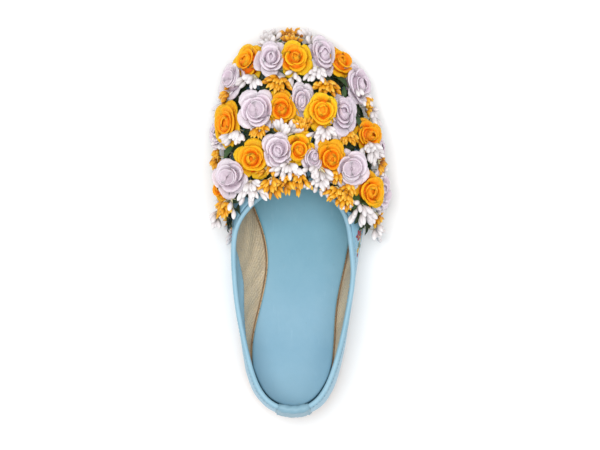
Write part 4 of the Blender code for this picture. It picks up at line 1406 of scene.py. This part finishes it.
def make_seams(blue_thread, sole_thread):
    """Stitching of the collar, the facing, the back seam, the tab and the sole."""
    lines = [sewn_line(np.linspace(*ends, 400), COLLAR_SEAM_UP, 0.12 * MM) for ends in COLLAR_SEAMS]
    turns = np.linspace(FACING_TURNS[0] + 0.02, FACING_TURNS[1] - 0.02, 500)
    ups = facing_low(turns) + 0.035
    turns, ups = turns[ups < 0.9], ups[ups < 0.9]
    on_facing = inside_wall(turns, ups, FACING_CLEAR + FACING_THICK * 0.9)
    lines.append((on_facing, -wall_normal(turns, ups)))
    rise = np.linspace(0.10, 0.50, 60)
    lines += [sewn_line(HEEL_TURN + side * BACK_SEAM_ASIDE, rise, 0.1 * MM) for side in (-1, 1)]
    rise = np.linspace(*TAB_SEAM_UPS, 50)
    on_tab = GAP + TAB_THICK * 0.55
    lines += [sewn_line(HEEL_TURN + side * TAB_SEAM_ASIDE, rise, on_tab, False) for side in (-1, 1)]
    across = np.linspace(HEEL_TURN - TAB_SEAM_ASIDE, HEEL_TURN + TAB_SEAM_ASIDE, 40)
    lines.append(sewn_line(across, TAB_SEAM_UPS[0], GAP + TAB_THICK * 0.6, False))

    ring = plan_ring(CHANNEL, 0.55 * MM, count=720)
    ring = ring[ring[:, 1] > SEAT_FRONT + 2 * MM]
    start = int(np.argmax(np.linalg.norm(np.diff(ring, axis=0), axis=-1))) + 1
    ring = np.concatenate([ring[start:], ring[:start]])
    down = np.tile([0.0, 0.0, -1.0], (len(ring), 1))

    stitch = stitch_shape("stitch")
    pieces = []
    for name, source, (pitch, length, width), material in (
        ("seam_stitches", chains_mesh("seam_lines", *zip(*lines)), (2.6, 2.0, 0.5), blue_thread),
        ("sole_stitches", chains_mesh("sole_line", [ring], [down]), (3.6, 3.0, 0.7), sole_thread),
    ):
        sizes = {"Pitch": pitch * MM, "Length": length * MM, "Width": width * MM}
        pieces.append(grow(name, source, STITCH_RUN, {"Stitch": stitch, **sizes, "Material": material}))
    bpy.data.objects.remove(stitch)
    return pieces


# Worked motif of each side of the upper: petals and leaves (along, up in millimetres from
# the flower's middle, aim in degrees from the heel upwards, length, half width, colour).
RED, GOLD, TEAL = 0.0, 0.5, 1.0
MOTIFS = (
    *((0, 0, 90 + 72 * k, 3.6, 1.2, RED) for k in range(5)),
    (0, 0, 0, 1.2, 0.9, GOLD),
    (5.0, -2.0, 40, 3.6, 1.0, TEAL),
    (7.0, -3.2, -50, 3.2, 0.9, TEAL),
    (9.0, -1.0, 60, 3.6, 1.0, GOLD),
    (-6.0, -2.0, 140, 3.4, 1.0, TEAL),
    (11.5, 0.5, 10, 3.0, 0.8, RED),
)
MOTIF_STEM = np.array([(-9, -5), (-4, -3.5), (2, -3.2), (6, -2.5), (9, -1.2), (12, 0.4)])
MOTIF_ALONG = 93.0 * MM  # where the flower's middle lies along the shoe
MOTIF_UP = 0.80  # and how far up the wall
MOTIF_SIDES = ((0.20, 0.42, 1), (0.58, 0.80, -1))  # turns of each side, and which way the heel is
STITCH_APART = 0.42
THREAD_WIDE = 0.5 * MM


def motif_stitches():
    """Long stitches of the motif laid flat: middle, way, length and colour."""
    stitches = []
    for along, up, aim, length, half, colour in MOTIFS:
        ahead = flat_way(aim)[:2]
        aside = np.array([-ahead[1], ahead[0]])
        count = max(3, round(2 * half / STITCH_APART))
        for share in (np.arange(count) + 0.5) / count * 2 - 1:
            chord = length * math.sqrt(1 - 0.8 * share**2)
            middle = np.array([along, up]) + (0.5 + chord / 2) * ahead + share * half * aside
            stitches.append((middle, ahead, chord, colour))
    for first, way in zip(MOTIF_STEM, np.diff(MOTIF_STEM, axis=0)):
        stitches += [(first + share * way, unit(way), 2.6, GOLD) for share in (0.25, 0.75)]
    return stitches


def make_embroidery(thread):
    """Flower and scroll worked in long stitches on both sides, behind the sewn flowers."""
    places = []
    chance = random.Random(17)
    for low, high, heelward in MOTIF_SIDES:
        table = np.linspace(low, high, 120)
        along = wall(table, MOTIF_UP)[:, 1]
        order = np.argsort(along)
        turn = float(np.interp(MOTIF_ALONG, along[order], table[order]))
        here = wall(turn, MOTIF_UP)
        height = np.linalg.norm(wall(turn, MOTIF_UP + SLOPE_STEP) - here) / SLOPE_STEP
        run = np.linalg.norm(wall(turn + SLOPE_STEP, MOTIF_UP) - here) / SLOPE_STEP

        def on_wall(place):
            at = turn + heelward * place[0] * MM / run, MOTIF_UP + place[1] * MM / height
            normal = wall_normal(*at)
            return wall(*at) + (crease_height(*at) + 0.1 * MM) * normal, normal

        for middle, ahead, chord, colour in motif_stitches():
            spot, normal = on_wall(middle)
            way = unit(on_wall(middle + 0.1 * ahead)[0] - spot)
            lie = Matrix((way, np.cross(normal, way), normal)).transposed()
            place = {"spot": spot, "turn": tuple(lie.to_euler("XYZ")), "shape": 0, "ring": colour}
            place["scale"] = (chord * MM, THREAD_WIDE, THREAD_WIDE)
            place["tone"] = chance.random()
            places.append(place)
    return set_shapes("side_embroidery", [stitch_shape("long_stitch")], places, thread, 0.04, 3)


# Flowers

TWIST_STEP = math.radians(137.5)
DOME_PROFILE = (
    (0.20, 0.50), (0.40, 0.68), (0.50, 0.70), (0.60, 0.62), (0.68, 0.54), (0.76, 0.44), (0.84, 0.31),
    (0.93, 0.20), (0.98, 0.09),
)
Petal = namedtuple("Petal", "profile half_angle waist corner skew roll wave thick")
ROSE_PETALS = {
    "petal_1_heart": Petal(
        ((0.06, 0.20), (0.25, 0.50), (0.31, 0.74), (0.29, 0.88), (0.20, 0.97), (0.07, 1.0)),
        100, 0.9, 0.20, 0.10, 0.10, 0.006, 0.042,
    ),
    "petal_2_inner": Petal(
        ((0.10, 0.20), (0.29, 0.55), (0.39, 0.80), (0.48, 0.91), (0.58, 0.91)),
        76, 0.85, 0.30, 0.09, 0.08, 0.010, 0.042,
    ),
    "petal_3_middle": Petal(
        ((0.12, 0.14), (0.38, 0.48), (0.54, 0.70), (0.69, 0.80), (0.82, 0.76)),
        62, 0.75, 0.34, 0.06, 0.06, 0.018, 0.040,
    ),
    "petal_4_outer": Petal(
        ((0.14, 0.08), (0.46, 0.36), (0.68, 0.55), (0.89, 0.63), (1.08, 0.56)),
        45, 0.62, 0.44, 0.0, 0.03, 0.022, 0.038,
    ),
    "petal_5_bowl": Petal(
        ((0.005, 0.89), (0.14, 0.895), (0.26, 0.91), (0.35, 0.95), (0.39, 0.985)),
        112, 1.0, 0.0, 0.0, 0.05, 0.004, 0.045,
    ),
}

# Rings of petals of each kind of rose: shape, how many, first angle in degrees, scale out
# and up, and how far the ring may sit off the middle.
PAPER_ROSE = (
    (0, 1, 0, 0.95, 0.97, 0.03),
    (1, 3, 0, 1.00, 1.01, 0.05),
    (2, 3, 40, 1.00, 1.00, 0.06),
    (3, 4, 10, 1.00, 1.00, 0.06),
    (4, 5, 40, 1.00, 1.00, 0.0),
)
FOLDED_ROSE = (
    (0, 1, 0, 0.95, 0.97, 0.05),
    (1, 2, 30, 1.05, 1.00, 0.07),
    (2, 2, 15, 1.02, 1.00, 0.07),
    (3, 1, 100, 0.84, 1.14, 0.05),
    (3, 3, 70, 1.00, 1.00, 0.06),
    (4, 5, 40, 1.00, 1.00, 0.0),
)
BOWL_ROSE = (
    (0, 1, 0, 0.90, 0.86, 0.05),
    (5, 2, 0, 1.00, 1.00, 0.06),
    (2, 2, 30, 1.00, 1.00, 0.05),
    (3, 1, 250, 0.84, 1.12, 0.05),
    (3, 3, 15, 1.00, 1.00, 0.06),
    (4, 5, 40, 1.00, 1.00, 0.0),
)
BOWLS = (8, 21, 22, 6)  # the lavender roses with an open bowl for a heart
PRESS = 0.55  # how much of an overlap with a neighbour is pressed back
NEIGHBOUR = 1.2  # roses press each other up to this share of their widths apart


def frame_of(normal, twist):
    """Turn that stands +Z on normal, spun by twist."""
    side = unit(np.cross([0.0, 1.0, 0.0], normal))
    base = Matrix((side, np.cross(normal, side), normal)).transposed()
    return base @ Matrix.Rotation(twist, 3, "Z")


def make_roses(colour, seed, material):
    """All roses of one colour: petals set round their hearts, pressed against neighbours."""
    shapes = [spun_shape("petal_0_core", DOME_PROFILE, upright=True)]
    shapes += [petal_shape(name, petal) for name, petal in ROSE_PETALS.items()]
    chance = random.Random(seed)
    places = []
    for index, (rose, (seat, normal)) in enumerate(zip(ROSES, ROSE_SEATS)):
        if rose.colour != colour:
            continue
        lean = Vector(facing(normal)) + Vector((rose.lean_out, rose.lean_toe, 0))
        lean += Vector([chance.uniform(-0.08, 0.08) for _ in range(3)])
        whorls = PAPER_ROSE if colour == "orange" else BOWL_ROSE if index in BOWLS else FOLDED_ROSE
        for ring, (shape, count, first, out, up, off) in enumerate(whorls):
            aside = Vector([chance.uniform(-1, 1) * off * rose.wide * MM for _ in range(2)] + [0])
            for k in range(count):
                angle = math.radians(first + 360 * k / count + chance.uniform(-8, 8))
                turn = frame_of(np.array(lean.normalized()), TWIST_STEP * index + angle)
                tilt = Matrix.Rotation(math.radians(chance.uniform(-1.6, 1.6) * (1 + ring)), 3, "Y")
                wide = out * chance.uniform(0.96, 1.04) * rose.long * MM
                tall = up * chance.uniform(0.97, 1.02) * (ROSE_HEIGHT + rose.rise * MM)
                place = {"spot": tuple(Vector(seat) + aside), "turn": tuple((turn @ tilt).to_euler("XYZ"))}
                place |= {"scale": (wide, wide, tall), "shape": shape, "tone": chance.random()}
                place |= {"ring": ring / (len(whorls) - 1), "ripe": rose.ripe, "bloom": index}
                places.append(place)
    piece = set_shapes("roses_" + colour, shapes, places, material, 0.03, 5)
    settle(piece.data)
    return piece


def settle(mesh):
    """Give each rose its width, and press its petals back where its neighbours begin."""
    points = np.empty(len(mesh.vertices) * 3, np.float32)
    mesh.vertices.foreach_get("co", points)
    points = points.reshape(-1, 3).astype(float)
    blooms = np.empty(len(mesh.vertices), np.int32)
    mesh.attributes["bloom"].data.foreach_get("value", blooms)
    for index in np.unique(blooms):
        mine = blooms == index
        rose, head = ROSES[index], ROSE_HEADS[index]
        points[mine, 0] = head[0] + (points[mine, 0] - head[0]) * rose.wide / rose.long
        for other, other_head in enumerate(ROSE_HEADS):
            away = other_head - head
            far = np.linalg.norm(away)
            reach = rose.wide + ROSES[other].wide
            if other == index or far > NEIGHBOUR * reach * MM:
                continue
            way = away / far
            over = (points[mine] - (head + away * rose.wide / reach)) @ way
            points[mine] -= PRESS * np.clip(over, 0, None)[:, None] * way
    mesh.vertices.foreach_set("co", points.astype(np.float32).ravel())
    mesh.update()


BUD_PROFILES = {
    "yellow": ((0.0, 0.25), (0.16, 0.70), (0.36, 1.0), (0.56, 0.90), (0.76, 0.60), (0.92, 0.28), (1.0, 0.05)),
    "white": ((0.0, 0.22), (0.2, 0.60), (0.42, 0.94), (0.62, 1.0), (0.82, 0.80), (0.95, 0.42), (1.0, 0.08)),
}
BUD_BENDS = (0.0, 0.35, -0.35)
BUD_RISES = (8, 40, 22)  # in degrees, by turns
STEM_SHARES = (1.35, 0.45, 0.9)  # lengths of the stems, by turns
BUD_LENGTHS = {"yellow": 5.6 * MM, "white": 7.6 * MM}
BUD_GIRTHS = {"yellow": 1.5 * MM, "white": 1.65 * MM}
STEM_LENGTHS = {"yellow": 4.4 * MM, "white": 5.2 * MM}
STEM_RADIUS = 0.33 * MM
BUD_CROWD = {"yellow": 1.75, "white": 1.5}  # how full the bunches are
NODE_HEIGHT = 8.0 * MM
SPRAY_BACK = 6.0 * MM  # how far behind the middle of a bunch its stems meet
BUD_CLEAR = 0.55  # share of a rose's radius that stays free of buds
LOW_SPRAYS = 27
LOW_SPRAY_UP = 0.2


def spray_buds(spray, seat, normal, chance):
    """Buds and stems of one spray: places and ways of its buds, and chains of its stems."""
    flat = flat_way(spray.aim)
    ahead = unit(flat - normal * (flat @ normal))
    side = np.cross(normal, ahead)
    knot = seat + normal * NODE_HEIGHT * chance.uniform(0.8, 1.15)
    buds, stems = [], [np.array([seat - normal * 0.5 * MM, seat + (knot - seat) * 0.5, knot])]
    count = round(spray.buds * BUD_CROWD[spray.colour])
    for k in range(count):
        share = ((k * 7 % count) + 0.5) / count - 0.5
        fan = math.radians(spray.fan * share + chance.uniform(-8, 8))
        rise = math.radians(BUD_RISES[k % 3] + chance.uniform(-7, 7))
        way = math.cos(rise) * (math.cos(fan) * ahead + math.sin(fan) * side) + math.sin(rise) * normal
        reach = STEM_LENGTHS[spray.colour] * spray.long * (STEM_SHARES[k % 3] + chance.uniform(-0.25, 0.25))
        foot = knot + reach * way
        bow = knot + 0.55 * reach * way + 0.35 * MM * normal
        droop = unit(way - normal * chance.uniform(0.0, 0.3) + side * chance.uniform(-0.12, 0.12))
        length = BUD_LENGTHS[spray.colour] * spray.long**0.5 * chance.uniform(0.88, 1.12)
        reaches = np.array([foot + part * length * droop for part in (0.5, 1.0)])
        if np.min(np.linalg.norm((reaches[:, None] - ROSE_HEADS) / ROSE_SIZES, axis=-1)) < BUD_CLEAR:
            continue
        buds.append((foot, droop, length))
        stems.append(np.array([knot, bow, foot + 0.15 * length * droop]))
    return buds, stems


def seated_sprays():
    """Sprays on their seats: those that show, and by rule those round the foot of the vamp."""
    for spray in SPRAYS:
        spot = np.array([spray.across, spray.along]) * MM - SPRAY_BACK * flat_way(spray.aim)[:2]
        yield spray, *seat_under(*spot, NODE_HEIGHT)
    for k, turn in enumerate(np.linspace(-0.235, 0.235, LOW_SPRAYS)):
        spot, normal = wall(turn, LOW_SPRAY_UP), wall_normal(turn, LOW_SPRAY_UP)
        aim = math.degrees(math.atan2(*outward(turn)[::-1]))
        spray = Spray(("white", "yellow")[k % 2], *(spot[:2] / MM), aim, 5, 120, 0.9)
        yield spray, spot + GAP * normal, normal


def make_sprays(finishes, stem_material):
    """All sprays: buds of each colour joined, and their stems."""
    chance = random.Random(31)
    bushes, stems = {"yellow": [], "white": []}, []
    for spray, seat, normal in seated_sprays():
        buds, lines = spray_buds(spray, seat, normal, chance)
        bushes[spray.colour] += buds
        stems += lines
    pieces = []
    for colour, buds in bushes.items():
        shapes = [spun_shape(f"bud_{k}", BUD_PROFILES[colour], bend) for k, bend in enumerate(BUD_BENDS)]
        places = []
        for k, (foot, way, length) in enumerate(buds):
            spin = Matrix.Rotation(chance.uniform(0, math.tau), 3, "X")
            turn = Vector(way).to_track_quat("X", "Z").to_matrix() @ spin
            girth = BUD_GIRTHS[colour] * chance.uniform(0.9, 1.12)
            place = {"spot": foot, "turn": tuple(turn.to_euler("XYZ")), "shape": k % 3}
            places.append({**place, "scale": (length, girth, girth)})
        for place in places:
            place["tone"] = chance.random()
        pieces.append(set_shapes("buds_" + colour, shapes, places, finishes[colour], 0.05, 9))
    values = {"Radius": STEM_RADIUS, "Sides": 5, "Material": stem_material}
    return *pieces, grow("spray_stems", chains_mesh("stem_lines", stems), STEMS, values)


BED_TURNS = (-0.225, 0.225)
BED_UPS = (0.10, 0.96)
BED_PROUD = 1.2 * MM
BED_SIZES = {"Spacing": 2.1 * MM, "Length": 11.0 * MM, "Tilt": 0.14, "Seed": 4}
LEAF_HEAD = 5.0 * MM
LEAF_PROUD = 4.5 * MM
LEAF_RISE = 0.35


def make_leaf_bed(material):
    """Bed of small dark leaves that covers the vamp under the flowers, painted shade in the gaps between
    them.
    """
    leaf = leaf_shape("bed_leaf", 5, 3)
    turns, rises = np.meshgrid(np.linspace(*BED_TURNS, 90), np.linspace(*BED_UPS, 30), indexing="ij")
    patch = wall(turns, rises) + BED_PROUD * wall_normal(turns, rises)
    quads = grid_quads(np.arange(turns.size).reshape(turns.shape))[:, [0, 3, 2, 1]]
    source = new_mesh("vamp_patch", patch.reshape(-1, 3), quads)
    source.flip_normals()
    bed = grow("leaf_bed", source, LEAF_BED, {"Leaf": leaf, **BED_SIZES, "Material": material})
    bpy.data.objects.remove(leaf)
    return bed


def make_leaves(material):
    """Leaves that show between the flowers."""
    chance = random.Random(41)
    places = []
    for across, along, aim, length in LEAVES:
        flat = flat_way(aim)
        start = np.array([across, along, 0.0]) * MM - 0.5 * length * MM * flat
        seat, normal = seat_under(start[0], start[1], LEAF_HEAD)
        ahead = unit(flat - normal * (flat @ normal) + LEAF_RISE * normal)
        side = unit(np.cross(normal, ahead))
        turn = Matrix((ahead, side, np.cross(ahead, side))).transposed()
        place = {"spot": seat + normal * LEAF_PROUD, "turn": tuple(turn.to_euler("XYZ")), "shape": 0}
        places.append({**place, "scale": (length * MM,) * 3, "tone": chance.uniform(0.6, 1.0)})
    return set_shapes("leaves", [leaf_shape("leaf_0", 8, 5)], places, material, 0.1, 2)


# Stage

FLOOR_HALF = 3.0
LIGHTS = (  # place, size and power
    ("key_light", (-0.45, 0.4, 2.3), 1.5, 32.0),
    ("fill_light", (0.5, -0.35, 2.0), 1.2, 8.0),
)
LIGHT_TARGET = Vector((0.0, 0.1, 0.02))
WORLD_STRENGTH = 0.70
CAMERA_PLACE = Vector((-0.064, 0.103, 2.0))
CAMERA_TARGET = Vector((0.003, 0.100, 0.03))
CAMERA_LENS = 174


def make_stage():
    """Pale floor, soft studio light, and a camera straight above, as the shoe was shown."""
    corners = [(x * FLOOR_HALF, y * FLOOR_HALF, 0) for x, y in ((-1, -1), (1, -1), (1, 1), (-1, 1))]
    floor = new_object("floor", new_mesh("floor", corners, [range(4)]))
    finish = Finish("floor_paper", Roughness=0.9, Specular_IOR_Level=0.1)
    paper = finish.mix(finish.noise(finish.place, 0.4), (0.93, 0.93, 0.93), (0.95, 0.95, 0.95))
    floor.data.materials.append(finish.done(paper))
    floor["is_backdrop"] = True

    scene = bpy.context.scene
    scene.world = bpy.data.worlds.new("studio")
    scene.world.use_nodes = True
    backdrop = scene.world.node_tree.nodes["Background"].inputs
    backdrop["Color"].default_value = (1.0, 1.0, 1.0, 1)
    backdrop["Strength"].default_value = WORLD_STRENGTH

    for name, place, size, power in LIGHTS:
        lamp = bpy.data.lights.new(name, "AREA")
        lamp.shape = "DISK"
        lamp.size = size
        lamp.energy = power
        light = new_object(name, lamp)
        light.location = place
        light.rotation_euler = (LIGHT_TARGET - Vector(place)).to_track_quat("-Z", "Y").to_euler()

    camera = bpy.data.cameras.new("camera")
    camera.lens = CAMERA_LENS
    camera.sensor_width = 36
    camera.clip_end = 20
    back = (CAMERA_PLACE - CAMERA_TARGET).normalized()
    right = Vector((0, 1, 0)).cross(back).normalized()
    turn = Matrix((right, back.cross(right), back)).transposed().to_4x4()
    scene.camera = new_object("camera", camera)
    scene.camera.matrix_world = Matrix.Translation(CAMERA_PLACE) @ turn
    scene.view_settings.view_transform = "Standard"


def numbered(stem, count):
    return [f"{stem}_{k:02d}" for k in range(1, count + 1)]


def main():
    """Make every piece, attach it to its body, and hide the parts it replaces."""
    # Deep colours also paint the shade in the petals' recesses; the paler satin rims paint their highlight.
    paper = petal_finish(
        "paper_petal", (0.86, 0.085, 0.002), (0.94, 0.245, 0.003), (0.95, 0.35, 0.005), (0.98, 0.53, 0.012),
        0.12 * MM, 0.65, Specular_IOR_Level=0.2, Subsurface_Radius=(1.0, 0.85, 0.6),
    )
    satin = petal_finish(
        "satin_petal", (0.55, 0.425, 0.50), (0.61, 0.49, 0.575), (0.68, 0.57, 0.67), (0.78, 0.68, 0.745),
        0.08 * MM, 0.34, Coat_Weight=0.25, Coat_Roughness=0.22, Subsurface_Radius=(1.0, 0.9, 0.95),
    )
    # The buds' dark feet paint shade, and the yellow buds' pale points paint highlights.
    bud_finishes = {
        "yellow": bud_finish(
            "yellow_bud", (0.28, 0.075, 0.002), (0.74, 0.31, 0.003), (0.96, 0.64, 0.09), 0.36
        ),
        "white": bud_finish(
            "white_bud", (0.42, 0.37, 0.35), (0.72, 0.675, 0.685), (0.87, 0.84, 0.84), 0.38
        ),
    }
    green = leaf_finish()

    upper = make_upper(upper_finish(), lining_finish())
    # The facing's copy is lighter, painted light against the shade under the collar.
    inner_facing = make_facing(piping_finish("facing_leather", 1.3))
    piping = make_piping(piping_finish("piping_leather", 1.0))
    # The tab's copy is darker, painted shade against the top light on its outer face.
    tab = make_heel_tab(piping_finish("tab_leather", 0.84))
    insole = make_insole(insole_finish(), raw_edge_finish())
    outsole = make_outsole(sole_finish())
    lift = make_heel_lift(lift_finish())
    seams, sole_seam = make_seams(
        thread_finish("seam_thread", (0.22, 0.42, 0.55), (0.42, 0.66, 0.79)),
        thread_finish("sole_thread", (0.42, 0.33, 0.2), (0.74, 0.64, 0.46)),
    )
    motif = make_embroidery(embroidery_finish())
    orange = make_roses("orange", 11, paper)
    lavender = make_roses("lavender", 23, satin)
    yellow, white, stalks = make_sprays(bud_finishes, stem_finish())
    bed = make_leaf_bed(green)
    leaves = make_leaves(green)

    orange_nodes, white_nodes = numbered("rose_orange", 12), numbered("spray_white", 14)
    for piece, slot, nodes in (
        (upper, "blue_leather", ["upper"]),
        (inner_facing, "blue_leather", ["upper"]),
        (piping, "blue_leather", ["collar_binding"]),
        (tab, "blue_leather", ["heel_tab"]),
        (insole, "insole_leather", ["insole"]),
        (outsole, "sole_leather", ["outsole"]),
        (lift, "heel_leather", ["heel_lift"]),
        (seams, "blue_leather", ["upper"]),
        (sole_seam, "sole_leather", ["outsole"]),
        (motif, "blue_leather", ["upper"]),
        (orange, "orange_petal", orange_nodes),
        (lavender, "lavender_petal", numbered("rose_lavender", 14)),
        (yellow, "yellow_bud", numbered("spray_yellow", 14)),
        (white, "white_bud", white_nodes),
        (stalks, "white_bud", white_nodes),
        (bed, "orange_petal", orange_nodes),
        (leaves, "orange_petal", orange_nodes),
    ):
        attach(piece, "root")
        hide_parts(*nodes)
    make_stage()


main()

[[list(corner) for corner in box] for box in (CAD_BOX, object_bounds())]
